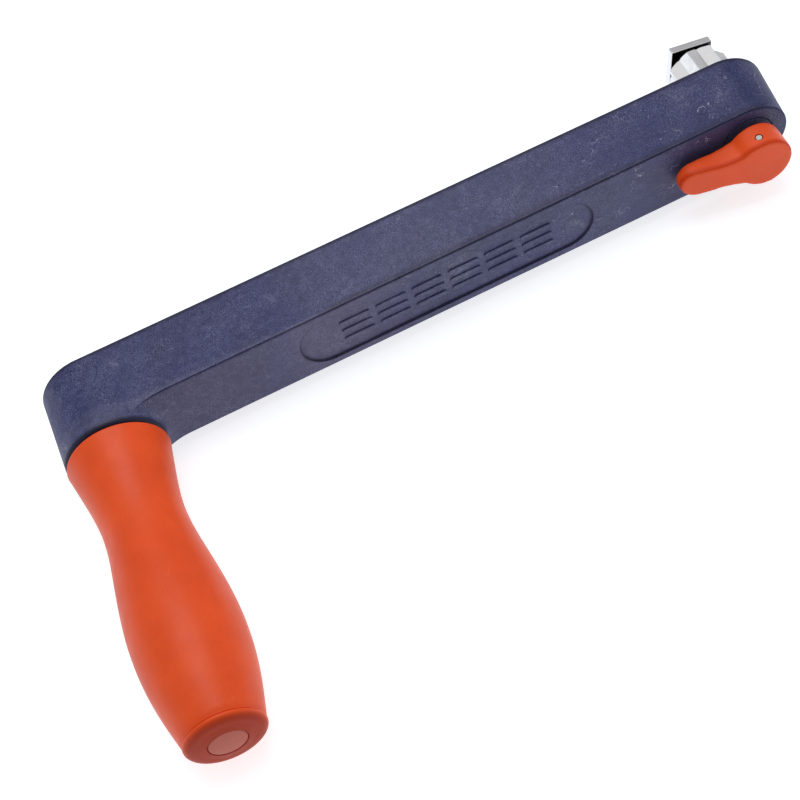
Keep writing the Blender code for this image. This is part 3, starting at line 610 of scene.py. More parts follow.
def underside_cuts():
    """The cover's seat with rounded rim, the pockets behind it and the cover's screw holes."""
    seat = ((COVER_RIM, -PAST), (COVER_RIM, 0), (0, COVER_RIM), (0, COVER_SEAT))
    cuts = [oblong("cover_seat", COVER_START, COVER_END, COVER_HALF_WIDTH, seat)]
    for i, (start, end) in enumerate(POCKETS):
        outline = obround(start, end, POCKET_HALF_WIDTH)
        cuts.append(prism(f"pocket_{i}", outline, PAST, POCKET_ROOF))
    for i, x in enumerate(COVER_SCREW_PLACES):
        cuts.append(rod(f"screw_hole_{i}", COVER_SCREW_RADIUS + GAP, PAST, COVER_SCREW_HOLE_TOP,
                        32, x))
    return cuts


def spigot_cuts():
    """Holes for the spigot's square shank, its tube, the ring nut and the stop pin."""
    top = ARM_HEIGHT_AT_SPIGOT + 3 * MM
    socket = regular((SHANK_SIDE / 2 + GAP) * 2**0.5, 4, pi / 4)
    rim = ARM_HEIGHT_AT_SPIGOT
    edge = 0.2 * MM
    nut_seat = [(top, 0), (top, NUT_SEAT_RADIUS + edge), (rim, NUT_SEAT_RADIUS + edge),
                (rim - edge, NUT_SEAT_RADIUS), (NUT_SEAT, NUT_SEAT_RADIUS), (NUT_SEAT, 0)]
    stop = rod("stop_pin_hole", STOP_PIN_RADIUS + GAP, rim - 6 * MM, top, 32)
    half = UNLOCK_TURN / 2
    stop.data.transform(Matrix.Translation((STOP_REACH * cos(half), STOP_REACH * sin(half), 0)))
    return [
        prism("shank_socket", socket, -PAST, SHANK_TOP + GAP),
        rod("tube_hole", TUBE_RADIUS + GAP, SHANK_TOP - PAST, top),
        turned("nut_seat", nut_seat),
        stop,
    ]


def pivot_cuts():
    """Holes for the grip's pivot pin, its head and the thrust washer."""
    wide = PIVOT_SEAT_RADIUS + PIVOT_RIM
    head_seat = [(PIVOT_SEAT_TOP, 0), (PIVOT_SEAT_TOP, PIVOT_SEAT_RADIUS),
                 (PIVOT_RIM, PIVOT_SEAT_RADIUS), (0, wide), (-PAST, wide), (-PAST, 0)]
    return [
        turned("pivot_head_seat", head_seat, centre=CENTRES),
        rod("pivot_hole", PIVOT_HOLE_RADIUS, PIVOT_SEAT_TOP - PAST, BOSS_TOP + PAST,
            centre=CENTRES),
        rod("thrust_washer_seat", THRUST_SEAT_RADIUS, BOSS_TOP - THRUST_SEAT_DEPTH,
            BOSS_TOP + PAST, centre=CENTRES),
    ]


def arm(material):
    block = arm_block()
    bevel(block, ARM_EDGE_RADIUS, 4)
    joined(block, [parting_groove(), panel_cut()])
    joined(block, panel_bars(), "UNION")
    joined(block, underside_cuts() + spigot_cuts() + pivot_cuts())
    piece(block, "arm", material, "navy_plastic", "arm_body")


def bottom_cover(material):
    """The cover on the underside, with a rounded lower edge and sunk screw holes."""
    top = COVER_BOTTOM + COVER_THICKNESS
    rows = [(-GAP - 0.5 * MM, COVER_BOTTOM), (-GAP - 0.15 * MM, COVER_BOTTOM + 0.15 * MM),
            (-GAP, COVER_BOTTOM + 0.5 * MM), (-GAP, top)]
    cover = oblong("bottom_cover", COVER_START, COVER_END, COVER_HALF_WIDTH, rows)
    hole = COVER_SCREW_RADIUS + GAP
    sink = [(top + PAST, 0), (top + PAST, hole), (COVER_BOTTOM + SCREW_HEAD_DEPTH, hole),
            (COVER_BOTTOM, SINK_RADIUS), (-PAST, SINK_RADIUS), (-PAST, 0)]
    joined(cover, [turned(f"sink_{i}", sink, steps=48, centre=x)
                   for i, x in enumerate(COVER_SCREW_PLACES)])
    piece(cover, "arm", material, "navy_plastic", "arm_bottom_cover")


def cross_recess(depth_from, depth_to, width, reach, x):
    """Two crossed slots, the drive of a small screw."""
    outline = [(-reach, -width), (reach, -width), (reach, width), (-reach, width)]
    bars = []
    for name, turn in (("slot_a", 0), ("slot_b", pi / 2)):
        bar = prism(name, outline, depth_from, depth_to)
        bar.data.transform(Matrix.Translation((x, 0, 0)) @ Matrix.Rotation(turn, 4, "Z"))
        bars.append(bar)
    return bars


def cover_screws(material):
    """The cover's sunk screws, with crossed slots."""
    face = COVER_BOTTOM + 0.1 * MM
    profile = [(13 * MM, 0), (12 * MM, COVER_SCREW_RADIUS),
               (face + SCREW_HEAD_DEPTH, COVER_SCREW_RADIUS), (face + 0.15 * MM, 3.15 * MM),
               (face, 3 * MM), (face, 0)]
    for i, x in enumerate(COVER_SCREW_PLACES):
        screw = turned(f"cover_screw_head_{i + 1}", profile, steps=48, centre=x)
        joined(screw, cross_recess(-PAST, face + 1.2 * MM, 0.35 * MM, 1.7 * MM, x))
        piece(screw, "arm", material, "steel", f"cover_screw_{i + 1}")


def pivot_plug(material):
    """The cap over the pivot's head, slightly dished."""
    top = 2.6 * MM
    radius = PIVOT_SEAT_RADIUS - GAP
    profile = [(top, 0), (top, radius), (0.5 * MM, radius), (0.1 * MM, radius - 0.4 * MM),
               (0.1 * MM, 8.6 * MM), (0.5 * MM, 8 * MM), (0.6 * MM, 0)]
    plug = turned("pivot_plug", profile, centre=CENTRES)
    piece(plug, "arm", material, "navy_plastic", "pivot_cover_plug")


# ---------------- drive spigot and lock


def drive_spigot(material):
    """Star head, square shank and round tube in one piece, bored for the lock spindle."""
    head = prism("star_spigot", star(STAR_FLATS, STAR_TURN), -STAR_LENGTH, -GAP)
    bevel(head, STAR_EDGE_RADIUS, 3, 60)
    chamfer_top = -STAR_LENGTH + STAR_CHAMFER * (STAR_REACH - STAR_END_RADIUS)
    cone = [(PAST, 0), (PAST, STAR_REACH), (chamfer_top, STAR_REACH),
            (-STAR_LENGTH, STAR_END_RADIUS), (-STAR_LENGTH, 0)]
    joined(head, [turned("star_chamfer", cone)], "INTERSECT")
    shank = prism("shank", regular(SHANK_SIDE / 2 * 2**0.5, 4, pi / 4), -PAST, SHANK_TOP)
    tube = rod("tube", TUBE_RADIUS, SHANK_TOP - PAST, TUBE_TOP)
    joined(head, [shank, tube], "UNION")
    below = -STAR_LENGTH - PAST
    above = TUBE_TOP + PAST
    joined(head, [
        rod("spindle_bore", SPINDLE_BORE_RADIUS, below, above),
        rod("lower_bush_seat", BUSH_SEAT_RADIUS, below, LOWER_BUSH_SEAT_TOP),
        rod("upper_bush_seat", BUSH_SEAT_RADIUS, TUBE_TOP - UPPER_BUSH_LENGTH, above),
    ])
    piece(head, "arm", material, "chrome", "drive_spigot", angle=25)


def spindle(material):
    """The lock's spindle, with a wider neck below the star and holes for its pin and screw."""
    neck_top = -STAR_LENGTH - GAP
    neck_bottom = -STAR_LENGTH - NECK_LENGTH + GAP
    end = 0.5 * MM
    edge = 0.2 * MM
    profile = [(SPINDLE_TOP, 0), (SPINDLE_TOP, SPINDLE_RADIUS - end),
               (SPINDLE_TOP - end, SPINDLE_RADIUS), (neck_top, SPINDLE_RADIUS),
               (neck_top, NECK_RADIUS - edge), (neck_top - edge, NECK_RADIUS),
               (neck_bottom + edge, NECK_RADIUS), (neck_bottom, NECK_RADIUS - edge),
               (neck_bottom, 0)]
    shaft = turned("spindle", profile)
    joined(shaft, [
        cross_rod("pin_hole", CROSS_PIN_RADIUS + GAP),
        rod("screw_hole", PLATE_SCREW_RADIUS + GAP, neck_bottom - PAST, -8 * MM),
    ])
    piece(shaft, "lock", material, "steel", "lock_spindle")


def lying_across(obj):
    """Turns a shape drawn along Z to lie along Y, on the cross pin's axis."""
    obj.data.transform(Matrix.Translation((0, 0, CROSS_PIN_HEIGHT))
                       @ Matrix.Rotation(pi / 2, 4, "X"))
    return obj


def cross_rod(name, radius):
    """A rod right through the lever's hub, on the cross pin's axis."""
    reach = 15 * MM
    return lying_across(rod(name, radius, -reach, reach, 32))


def plate(material):
    """The square lock plate, with a sunk hole for its screw."""
    top = -STAR_LENGTH - NECK_LENGTH
    bottom = top - PLATE_THICKNESS
    outline = regular(PLATE_SIDE / 2 * 2**0.5, 4, PLATE_TURN)
    block = prism("plate", outline, bottom, top)
    bevel(block, PLATE_EDGE_RADIUS)
    hole = PLATE_SCREW_RADIUS + GAP
    wide = hole + 2 * MM
    sink = [(top + PAST, 0), (top + PAST, hole), (bottom + 2 * MM, hole), (bottom, wide),
            (bottom - PAST, wide), (bottom - PAST, 0)]
    joined(block, [turned("plate_sink", sink)])
    piece(block, "lock", material, "chrome", "lock_plate")


def plate_screw(material):
    """The plate's sunk screw, with a hexagon socket."""
    face = -STAR_LENGTH - NECK_LENGTH - PLATE_THICKNESS + 0.1 * MM
    profile = [(-9 * MM, 0), (-9.5 * MM, PLATE_SCREW_RADIUS), (face + 2 * MM, PLATE_SCREW_RADIUS),
               (face + 0.2 * MM, PLATE_SCREW_HEAD_RADIUS),
               (face, PLATE_SCREW_HEAD_RADIUS - 0.15 * MM), (face, 0)]
    screw = turned("plate_screw", profile)
    joined(screw, [prism("hex", regular(1.45 * MM, 6), face - PAST, face + 1.4 * MM)])
    piece(screw, "lock", material, "steel", "lock_plate_screw")


def lever_blank():
    """The lever's hub and its tapering thumb tongue, whose top falls to the tip."""
    hub = rod("lever", HUB_RADIUS, LEVER_BASE, LEVER_TOP, 96)
    centre = PADDLE_TIP - PADDLE_TIP_RADIUS
    tip = arc((centre, 0), (PADDLE_TIP_RADIUS, PADDLE_TIP_RADIUS), -pi / 2, pi / 2, 24)
    side = []
    for t in np.linspace(0, 1, 8, endpoint=False):
        width = PADDLE_ROOT_HALF_WIDTH + (PADDLE_TIP_RADIUS - PADDLE_ROOT_HALF_WIDTH) * t
        side.append((PADDLE_START + (centre - PADDLE_START) * t,
                     width - PADDLE_WAIST * sin(pi * t) ** 2))
    outline = [(x, -y) for x, y in side] + tip + side[::-1]
    top = [(x, y, PADDLE_ROOT_TOP - LEVER_FALL * (x - PADDLE_START)) for x, y in outline]
    tongue = lofted("tongue", [[(x, y, LEVER_BASE) for x, y in outline], top])
    return joined(hub, [tongue], "UNION")


def lever_face():
    """A block whose top is level over the hub and falls in one soft curve along the tongue."""
    reach = 15 * MM
    tip = PADDLE_TIP + PAST
    profile = [(-reach, LEVER_BASE - PAST), (tip, LEVER_BASE - PAST)]
    for x in np.linspace(tip, -reach, 48):
        beyond = x - LEVER_BEND
        drop = (beyond + (beyond**2 + LEVER_BEND_LENGTH**2) ** 0.5) / 2
        profile.append((x, LEVER_TOP - LEVER_FALL * drop))
    return lofted("lever_face", [[(x, y, z) for x, z in profile] for y in (reach, -reach)])


def lever(material):
    """The thumb lever, softened all over, with its cavity, bore, pin hole and stop slot."""
    blank = joined(lever_blank(), [lever_face()], "INTERSECT")
    modify(blank, "REMESH", mode="VOXEL", voxel_size=LEVER_VOXEL)
    modify(blank, "SMOOTH", factor=0.5, iterations=LEVER_SMOOTHING)
    settled(blank)
    below = LEVER_BASE - PAST
    joined(blank, [
        rod("hub_cavity", HUB_CAVITY_RADIUS, below, HUB_CAVITY_TOP),
        rod("hub_bore", SPINDLE_RADIUS + GAP, below, SPINDLE_TOP + GAP),
        cross_rod("lever_pin_hole", CROSS_PIN_RADIUS + 0.25 * MM),
        stop_slot(),
    ])
    piece(blank, "lock", material, "orange_plastic", "lock_lever", angle=50)


def stop_slot():
    """The curved slot that rides over the stop pin."""
    half = UNLOCK_TURN / 2
    width = STOP_PIN_RADIUS + GAP
    outer = arc((0, 0), (STOP_REACH + width,) * 2, -half, half, 12)
    inner = arc((0, 0), (STOP_REACH - width,) * 2, half, -half, 12)
    right = (STOP_REACH * cos(half), STOP_REACH * sin(half))
    far_end = arc(right, (width, width), half, half + pi, 10)
    near_end = arc((right[0], -right[1]), (width, width), pi - half, tau - half, 10)
    outline = outer + far_end[1:-1] + inner + near_end[1:-1]
    return prism("stop_slot", outline, LEVER_BASE - PAST, STOP_SLOT_TOP)


def cross_pin(material):
    """The solid pin through the lever's hub, with chamfered and slightly dimpled ends."""
    half = HUB_RADIUS - 0.25 * MM
    radius = CROSS_PIN_RADIUS
    end = [(half - 0.2 * MM, 0), (half - 0.15 * MM, 0.45 * MM), (half, 0.6 * MM),
           (half, radius - 0.2 * MM), (half - 0.2 * MM, radius)]
    pin = turned("cross_pin", end + [(-z, r) for z, r in reversed(end)], steps=40)
    piece(lying_across(pin), "lock", material, "steel", "lever_cross_pin")


# ---------------- grip


def grip(material):
    """The turned sleeve, with rounded ends and the counterbore for the cap's skirt."""
    outline = smooth_curve(GRIP_OUTLINE, 14)
    rim = 0.9 * MM
    lip = 0.5 * MM
    low = rounded(GRIP_BASE, outline[0][1] - 0.1 * MM, rim, pi / 2)
    body = [p for p in outline if GRIP_BASE + 1.5 * rim < p[0] < GRIP_SLEEVE_END - 2 * lip]
    high = rounded(GRIP_SLEEVE_END, outline[-1][1], lip, 0)
    counterbore = CAP_SKIRT_RADIUS + GAP
    step = GRIP_SLEEVE_END - CAP_SKIRT_DEPTH - 0.7 * MM
    profile = [*reversed(high), *reversed(body), *low, (GRIP_BASE, GRIP_BORE), (step, GRIP_BORE),
               (step, counterbore), (GRIP_SLEEVE_END, counterbore)]
    sleeve = turned("grip", profile, closed=True, steps=128, centre=CENTRES)
    piece(sleeve, "grip", material, "orange_plastic", "grip_sleeve", angle=50)


def end_cap(material):
    """The cap over the sleeve's end: a softly domed face that rolls over to its side."""
    base = GRIP_SLEEVE_END + CAP_SEAM
    hole = PLUG_RADIUS + 2 * CAP_SEAM
    skirt = GRIP_SLEEVE_END - CAP_SKIRT_DEPTH
    face = GRIP_END - CAP_DOME
    shoulder = arc((face - CAP_EDGE_DEPTH, CAP_RADIUS - CAP_EDGE_WIDTH),
                   (CAP_EDGE_DEPTH, CAP_EDGE_WIDTH), pi / 2, 0, 12)
    lip = 0.6 * MM
    rolled = arc((base + lip, CAP_RADIUS - lip), (lip, lip), pi, pi / 2, 5)
    inner = CAP_SKIRT_RADIUS - 2 * MM
    back = base - 1 * MM
    profile = [(GRIP_END - 0.35 * MM, hole), (GRIP_END - 0.10 * MM, hole + 0.2 * MM),
               (GRIP_END - 0.30 * MM, hole + 1.5 * MM), *reversed(shoulder), *reversed(rolled),
               (base, CAP_SKIRT_RADIUS), (skirt, CAP_SKIRT_RADIUS), (skirt, inner),
               (back, inner), (back, hole)]
    cap = turned("end_cap", profile, closed=True, steps=128, centre=CENTRES)
    piece(cap, "grip", material, "orange_plastic", "grip_end_cap", angle=30)


def end_plug(material):
    """The small domed plug in the cap's middle, with a rounded rim."""
    rim = PLUG_EDGE_RADIUS
    dome = [(GRIP_END + 0.35 * MM - 0.45 * MM * t**2, (PLUG_RADIUS - rim) * t)
            for t in np.linspace(0, 1, 9, endpoint=False)]
    side = arc((GRIP_END - 0.1 * MM - rim, PLUG_RADIUS - rim), (rim, rim), pi / 2, 0, 5)
    base = GRIP_SLEEVE_END - 0.7 * MM
    plug = turned("end_plug", dome + side[::-1] + [(base, PLUG_RADIUS), (base, 0)],
                  centre=CENTRES)
    piece(plug, "grip", material, "orange_plastic", "grip_end_plug")


# ---------------- materials


class Nodes:
    """Builds a tree of shader nodes by plain calls. Lengths are metres on the object."""

    def __init__(self, tree, coordinates):
        self.tree = tree
        self.place = self.node("TexCoord").outputs[coordinates]

    def put(self, socket, value):
        """Links an input to another node's output, or sets its value."""
        if isinstance(value, bpy.types.NodeSocket):
            self.tree.links.new(value, socket)
        elif socket.type == "RGBA":
            socket.default_value = (*value, 1)
        else:
            socket.default_value = value

    def node(self, kind, inputs=None, **settings):
        made = self.tree.nodes.new("ShaderNode" + kind)
        for key, value in settings.items():
            setattr(made, key, value)
        for key, value in (inputs or {}).items():
            self.put(made.inputs[key], value)
        return made

    def axes(self):
        return self.node("SeparateXYZ", {0: self.place}).outputs

    def noise(self, size, detail=3.0, roughness=0.55, distortion=0.0, place=None):
        """Noise whose features are about the given length across."""
        inputs = {"Vector": place or self.place, "Scale": 1 / size, "Detail": detail,
                  "Roughness": roughness, "Distortion": distortion}
        return self.node("TexNoise", inputs).outputs["Fac"]

    def stretched(self, x, y, z):
        """The object's coordinates, divided by the given lengths' proportions."""
        inputs = {"Vector": self.place, "Scale": (1 / x, 1 / y, 1 / z)}
        return self.node("Mapping", inputs).outputs["Vector"]

    def scale(self, value, low, high, at_low=0.0, at_high=1.0):
        """Carries low..high to at_low..at_high, smoothly and held at the ends."""
        inputs = {"Value": value, "From Min": low, "From Max": high, "To Min": at_low,
                  "To Max": at_high}
        made = self.node("MapRange", inputs, interpolation_type="SMOOTHSTEP")
        return made.outputs["Result"]

    def math(self, operation, first, second=0.0):
        return self.node("Math", {0: first, 1: second}, operation=operation).outputs[0]

    def times(self, first, second):
        return self.math("MULTIPLY", first, second)

    def band(self, value, low, low_full, high_full, high, peak=1.0):
        """The peak between the two full values, falling to 0 at low and at high."""
        return self.times(self.scale(value, low, low_full),
                          self.scale(value, high, high_full, 0, peak))

    def blend(self, amount, first, second):
        inputs = {0: amount, 6: first, 7: second}
        return self.node("Mix", inputs, data_type="RGBA").outputs[2]

    def vector(self, operation, inputs):
        return self.node("VectorMath", inputs, operation=operation).outputs

    def hairlines(self, size, width, wander, place=None):
        """Thin wandering lines, the edges of large distorted cells: 1 on a line, 0 off it."""
        place = place or self.place
        bend = self.node("TexNoise", {"Vector": place, "Scale": 1 / wander,
                                      "Detail": 3.0}).outputs["Color"]
        spread = self.vector("ADD", {0: bend, 1: (-0.5, -0.5, -0.5)})[0]
        amount = self.vector("SCALE", {0: spread, "Scale": size})[0]
        moved = self.vector("ADD", {0: place, 1: amount})[0]
        cells = self.node("TexVoronoi", {"Vector": moved, "Scale": 1 / size},
                          feature="DISTANCE_TO_EDGE").outputs["Distance"]
        return self.scale(cells, 0, width / size, 1, 0)


class Finish(Nodes):
    """One procedural material, painted in layers over its first tone."""

    def __init__(self, name, tone):
        self.material = bpy.data.materials.new(name)
        self.material.use_nodes = True
        super().__init__(self.material.node_tree, "Object")
        self.colour = tone
        self.normal = None

    def paint(self, mask, tone, strength=1.0):
        """Lays a tone over the colour so far, where the mask is 1."""
        self.colour = self.blend(self.times(mask, strength), self.colour, tone)

    def bump(self, height, depth):
        inputs = {"Height": height, "Distance": depth, "Strength": 1.0}
        if self.normal:
            inputs["Normal"] = self.normal
        self.normal = self.node("Bump", inputs).outputs["Normal"]

    def done(self, **inputs):
        """Sets the shader's inputs, with _ for each space in a name, and gives the material."""
        inputs["Base_Color"] = self.colour
        if self.normal:
            inputs["Normal"] = self.normal
        shader = self.tree.nodes["Principled BSDF"]
        for key, value in inputs.items():
            self.put(shader.inputs[key.replace("_", " ")], value)
        return self.material


def navy_plastic(name="navy_plastic", painted_edge_shade=True):
    """Dark blue moulded plastic with a fine grain: light specks, cloudy scuffs and scratches,
    fainter towards the spigot's end, and painted shade that darkens it along its edges."""
    look = Finish(name, NAVY_DEEP)
    x, y, z = look.axes()
    cloud = look.noise(22 * MM, 4)
    look.paint(look.scale(cloud, 0.35, 0.68), NAVY_CLOUD)
    mottle = look.scale(look.noise(2.6 * MM, 6, 0.75), 0.38, 0.70, 0, 0.60)
    worn = look.scale(x, 5 * MM, 95 * MM, 0.35)
    look.paint(look.times(mottle, worn), NAVY_MOTTLE)
    grain = look.scale(look.noise(0.35 * MM, 3, 0.7), 0.48, 0.70)
    hazy = look.scale(look.noise(15 * MM, 3, 0.6, 0.4), 0.40, 0.62, 0.45)
    look.paint(look.times(grain, hazy), NAVY_GRAIN)
    pits = look.noise(0.42 * MM, 3, 0.7, 0, look.stretched(1.1, 0.9, 1.0))
    look.paint(look.scale(pits, 0.52, 0.68, 0, 0.8), NAVY_PIT)
    scuffed = look.times(look.scale(look.noise(14 * MM, 3, 0.6, 0.6), 0.58, 0.76),
                         look.scale(look.noise(0.9 * MM, 5, 0.8), 0.42, 0.62))
    look.paint(scuffed, NAVY_SCUFF, 0.45)
    lines = look.times(look.hairlines(17 * MM, 0.14 * MM, 8 * MM),
                       look.scale(look.noise(8 * MM, 2), 0.53, 0.61))
    fading = look.scale(x, 150 * MM, 40 * MM, 0.25, 0.75)
    look.paint(look.times(lines, fading), NAVY_SCRATCH)
    face = look.math("ADD", look.times(x, ARM_SLOPE), ARM_HEIGHT_AT_SPIGOT)
    below = look.math("SUBTRACT", z, face)
    top = look.scale(below, -1.3 * MM, -0.95 * MM)
    # A lighter tone laid on the upper face towards the grip
    patch = look.band(x, 120 * MM, 170 * MM, 172 * MM, 192 * MM)
    look.paint(look.times(top, patch), NAVY_UPPER_FACE_TONE, 0.10)
    # Painted shade along the upper edge, the underside's edge, the boss's rim and the panel
    edges = edge_shade(look, x, y, z, below) if painted_edge_shade else 0.0
    look.paint(edges, NAVY_EDGE_SHADE)
    look.bump(look.noise(0.5 * MM, 3, 0.6), 0.06 * MM)
    look.bump(lines, -0.03 * MM)
    ends = look.math("ADD", look.scale(x, 95 * MM, 25 * MM),
                     look.scale(x, 150 * MM, 195 * MM))
    matt_and_shade = look.times(ends, look.scale(z, 26 * MM, 23 * MM))
    matt_and_shade = look.math("MAXIMUM", matt_and_shade, edges)
    shine = look.math("ADD", look.scale(matt_and_shade, 0, 1, 0.5, 0.30), look.times(top, 0.12))
    return look.done(Roughness=look.scale(cloud, 0.3, 0.7, 0.50, 0.60),
                     Specular_IOR_Level=shine, IOR=1.45)


def edge_shade(look, x, y, z, below):
    """Painted shade along the moulding's edges: just below the upper edge, round the underside's
    edge, at the boss's rim and round the panel. 1 there, 0 elsewhere."""
    outer = look.scale(look.math("ABSOLUTE", y), 12.2 * MM, 13.2 * MM)
    upper = look.times(look.band(below, -3.4 * MM, -0.9 * MM, -0.5 * MM, 0), outer)
    upper = look.times(upper, look.scale(x, 176 * MM, 160 * MM, 0, 0.5))
    lower = look.band(z, 0.02 * MM, 0.2 * MM, 0.8 * MM, 2.4 * MM, 0.8)
    rim = look.scale(z, BOSS_TOP - 2.8 * MM, BOSS_TOP - 0.9 * MM)
    reach = (PANEL_END - PANEL_START) / 2 - PANEL_HALF_WIDTH
    along = look.math("ABSOLUTE", look.math("SUBTRACT", x, (PANEL_START + PANEL_END) / 2))
    along = look.math("MAXIMUM", look.math("SUBTRACT", along, reach))
    away = look.math("ADD", look.times(along, along), look.times(y, y))
    away = look.math("SUBTRACT", look.math("POWER", away, 0.5), PANEL_HALF_WIDTH)
    panel = look.band(away, -1.1 * MM, -0.3 * MM, 0, 0.5 * MM, 0.6)
    panel = look.times(panel, look.scale(z, 20 * MM, 22 * MM))
    marks = look.math("MAXIMUM", look.math("MAXIMUM", upper, lower), rim)
    return look.math("MAXIMUM", marks, panel)


def orange_plastic(name="orange_plastic", tones=ORANGE_TONES, ior=1.35, painted_ridge_shade=False):
    """Satin orange plastic with faint mottling, rubbed marks and a few fine scratches. Painted
    shade makes the grip's flat end browner; with painted ridge shade, it is darker just below the
    lever's face."""
    dark, light, face = tones
    look = Finish(name, dark)
    x, _, z = look.axes()
    look.paint(look.scale(look.noise(20 * MM, 3), 0.3, 0.7), light)
    mottle = look.noise(0.9 * MM, 4, 0.7)
    look.paint(look.scale(mottle, 0.45, 0.75, 0, 0.10), ORANGE_MOTTLE)
    specks = look.noise(0.5 * MM, 1, 0.5)
    look.paint(look.scale(specks, 0.70, 0.80, 0, 0.7), ORANGE_SPECK)
    lines = look.times(
        look.hairlines(24 * MM, 0.09 * MM, 12 * MM, look.stretched(1, 1, 1.7)),
        look.scale(look.noise(13 * MM, 2), 0.54, 0.66))
    look.paint(lines, ORANGE_SCRATCH, 0.15)
    # Painted shade: the browner tone on the grip's flat end, which is also made less shiny
    matt_and_shade = look.scale(z, GRIP_END - 2.9 * MM, GRIP_END - 0.9 * MM)
    look.paint(matt_and_shade, face, 0.75)
    # Painted shade below the lever's falling face
    if painted_ridge_shade:
        matt_and_shade = ridge_shade(look, x, z)
        look.paint(matt_and_shade, ORANGE_RIDGE_SHADE, 0.55)
    look.bump(look.noise(0.6 * MM, 3, 0.6), 0.015 * MM)
    look.bump(lines, -0.008 * MM)
    rubbed = look.noise(7 * MM, 4, 0.65, 0.4)
    return look.done(Roughness=look.scale(rubbed, 0.3, 0.7, 0.40, 0.48),
                     Specular_IOR_Level=look.scale(matt_and_shade, 0, 1, 0.5, 0.26), IOR=ior)


def ridge_shade(look, x, z):
    """Painted shade: the dark line along the lever's edge, just below its falling face."""
    beyond = look.math("SUBTRACT", x, LEVER_BEND)
    bend = look.math("ADD", look.times(beyond, beyond), LEVER_BEND_LENGTH**2)
    drop = look.math("ADD", beyond, look.math("POWER", bend, 0.5))
    below = look.math("ADD", look.math("SUBTRACT", z, LEVER_TOP),
                      look.times(drop, LEVER_FALL / 2))
    return look.band(below, -2.6 * MM, -1 * MM, -0.5 * MM, -0.05 * MM)


def polished_metal(name, tone, roughness, worn, shaded_gap=False):
    """Polished or turned metal with fine scratches; worn is how rough its rubbed areas get. With a
    shaded gap, painted shade makes it black in the narrow gap between the star and the plate."""
    look = Finish(name, tone)
    smear = look.noise(3 * MM, 5, 0.65, 0.5)
    brushed = look.noise(0.25 * MM, 3, 0.6, 0, look.stretched(1, 1, 8))
    look.paint(look.scale(brushed, 0.4, 0.7, 0, 0.25), tuple(0.72 * part for part in tone))
    lines = look.times(look.hairlines(5 * MM, 0.04 * MM, 3 * MM),
                       look.scale(look.noise(3 * MM, 2), 0.5, 0.62))
    look.paint(lines, tuple(0.5 * part for part in tone), 0.5)
    # Painted shade: black in the gap between the star's end and the plate
    if shaded_gap:
        plate_face = -STAR_LENGTH - NECK_LENGTH
        gap = look.band(look.axes()["Z"], plate_face - 0.15 * MM, plate_face - 0.02 * MM,
                        -STAR_LENGTH + 0.1 * MM, -STAR_LENGTH + 0.3 * MM)
        look.paint(gap, GAP_SHADE)
    look.bump(brushed, 0.004 * MM)
    return look.done(Metallic=1.0, Roughness=look.scale(smear, 0.35, 0.7, roughness, worn))


def dull(name, tone, second, size, roughness, depth):
    """A plain dull material: two near tones mottled, with a grain of the given size."""
    look = Finish(name, tone)
    look.paint(look.scale(look.noise(6 * size, 4), 0.35, 0.65), second)
    look.bump(look.noise(size, 3, 0.6), depth)
    worn = look.scale(look.noise(10 * size, 3), 0.3, 0.7, roughness - 0.06, roughness + 0.06)
    return look.done(Roughness=worn)


NAVY = navy_plastic()
PLAIN_NAVY = navy_plastic("plain_navy_plastic", False)
ORANGE = orange_plastic()
LEVER_ORANGE = orange_plastic("orange_lever", painted_ridge_shade=True)
PLUG_ORANGE = orange_plastic("orange_plug", PLUG_TONES, 1.45)
CHROME = polished_metal("chrome", (0.76, 0.76, 0.77), 0.10, 0.2, True)
STEEL = polished_metal("steel", (0.60, 0.60, 0.58), 0.24, 0.4)
# The brass tone is darkened as painted shade for the bushes deep in the spigot's bore
BRASS = polished_metal("brass", (0.36, 0.26, 0.11), 0.30, 0.45)
NYLON = dull("nylon", (0.74, 0.72, 0.66), (0.80, 0.78, 0.72), 0.5 * MM, 0.45, 0.02 * MM)
RUBBER = dull("rubber", (0.014, 0.014, 0.015), (0.024, 0.024, 0.024), 0.4 * MM, 0.68, 0.03 * MM)
FOAM = dull("foam", (0.70, 0.66, 0.52), (0.82, 0.79, 0.68), 0.8 * MM, 0.9, 0.3 * MM)
KEPT = (
    (PLAIN_NAVY, ("nut_seat_cover",)),
    (STEEL, ("spigot_washer", "spigot_ring_nut", "lever_stop_pin", "lever_return_spring",
             "grip_pivot_pin", "grip_retaining_washer", "grip_retaining_screw")),
    (BRASS, ("spindle_bush_lower", "spindle_bush_upper")),
    (NYLON, ("grip_thrust_washer", "grip_bush_inner", "grip_bush_outer")),
    (RUBBER, ("cover_gasket", "spindle_o_ring")),
    (FOAM, ("foam_core_near_spigot", "foam_core_near_grip")),
)


def finish_kept_nodes():
    """Gives the nodes that keep their CAD mesh a finished material."""
    for material, nodes in KEPT:
        for node in nodes:
            obj = bpy.data.objects[node]
            obj.data.materials.clear()
            obj.data.materials.append(material)


# ---------------- studio


def pale_floor():
    """A wide pale floor at the handle's lowest point."""
    look = Finish("pale_floor", FLOOR_TONES[0])
    look.paint(look.scale(look.noise(0.25, 3), 0.3, 0.7), FLOOR_TONES[1])
    work = bmesh.new()
    corners = regular(FLOOR_HALF_WIDTH * 2**0.5, 4, pi / 4)
    work.faces.new([work.verts.new((x, y, 0)) for x, y in corners])
    floor = from_bmesh("floor", work)
    if floor.data.polygons[0].normal.z < 0:
        floor.data.flip_normals()
    floor.data.materials.append(look.done(
        Roughness=0.9, Specular_IOR_Level=0.1, Emission_Color=(1, 1, 1),
        Emission_Strength=FLOOR_GLOW))


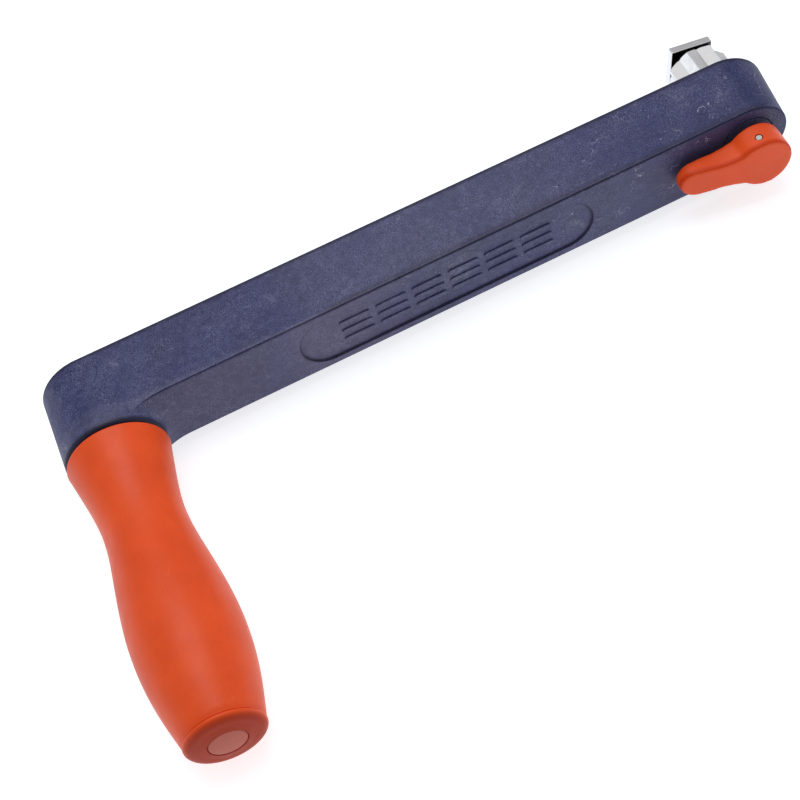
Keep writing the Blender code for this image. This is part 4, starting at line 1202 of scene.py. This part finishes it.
def soft_room():
    """A studio room: bright overhead and at both sides, dark in front and behind."""
    world = bpy.data.worlds.new("soft_room")
    bpy.context.scene.world = world
    world.use_nodes = True
    room = Nodes(world.node_tree, "Generated")
    lean = room.vector("DOT_PRODUCT", {0: room.place, 1: BRIGHT_SIDE})["Value"]
    above = room.scale(lean, 0.68, 0.96)
    aside = room.math("ABSOLUTE", room.math("ADD", room.axes()["X"], SIDE_SHIFT))
    beside = room.scale(aside, 0.40, 0.75, 0, SIDE_SHARE)
    colour = room.blend(room.math("MAXIMUM", above, beside), ROOM_DARK, ROOM_BRIGHT)
    background = world.node_tree.nodes["Background"]
    room.put(background.inputs["Color"], colour)
    room.put(background.inputs["Strength"], WORLD_STRENGTH)


def key_light():
    light = bpy.data.lights.new("key", "AREA")
    light.size = KEY_SIZE
    light.energy = KEY_POWER
    lamp = new_object("key", light)
    lamp.location = KEY_PLACE
    lamp.rotation_euler = (-Vector(KEY_PLACE)).to_track_quat("-Z", "Y").to_euler()


def camera():
    """The camera at the photograph's viewing angle."""
    back = Vector((cos(CAMERA_ELEVATION) * sin(CAMERA_AZIMUTH),
                   -cos(CAMERA_ELEVATION) * cos(CAMERA_AZIMUTH),
                   sin(CAMERA_ELEVATION)))
    low, high = CAD_BOX
    aim = (Vector(low) + Vector(high)) / 2 + CAMERA_AIM
    lens = bpy.data.cameras.new("camera")
    lens.lens = LENS
    lens.sensor_width = SENSOR
    lens.clip_start = 10 * MM
    obj = new_object("camera", lens)
    turn = (-back).to_track_quat("-Z", "Y").to_matrix().to_4x4()
    obj.matrix_world = (Matrix.Translation(aim + back * CAMERA_DISTANCE) @ turn
                        @ Matrix.Rotation(-CAMERA_ROLL, 4, "Z"))
    bpy.context.scene.camera = obj


def build():
    arm(NAVY)
    bottom_cover(PLAIN_NAVY)
    cover_screws(STEEL)
    pivot_plug(PLAIN_NAVY)
    drive_spigot(CHROME)
    spindle(STEEL)
    plate(CHROME)
    plate_screw(STEEL)
    lever(LEVER_ORANGE)
    cross_pin(STEEL)
    grip(ORANGE)
    end_cap(ORANGE)
    end_plug(PLUG_ORANGE)
    finish_kept_nodes()
    pale_floor()
    soft_room()
    key_light()
    camera()


build()
bpy.context.scene.view_settings.view_transform = "Standard"
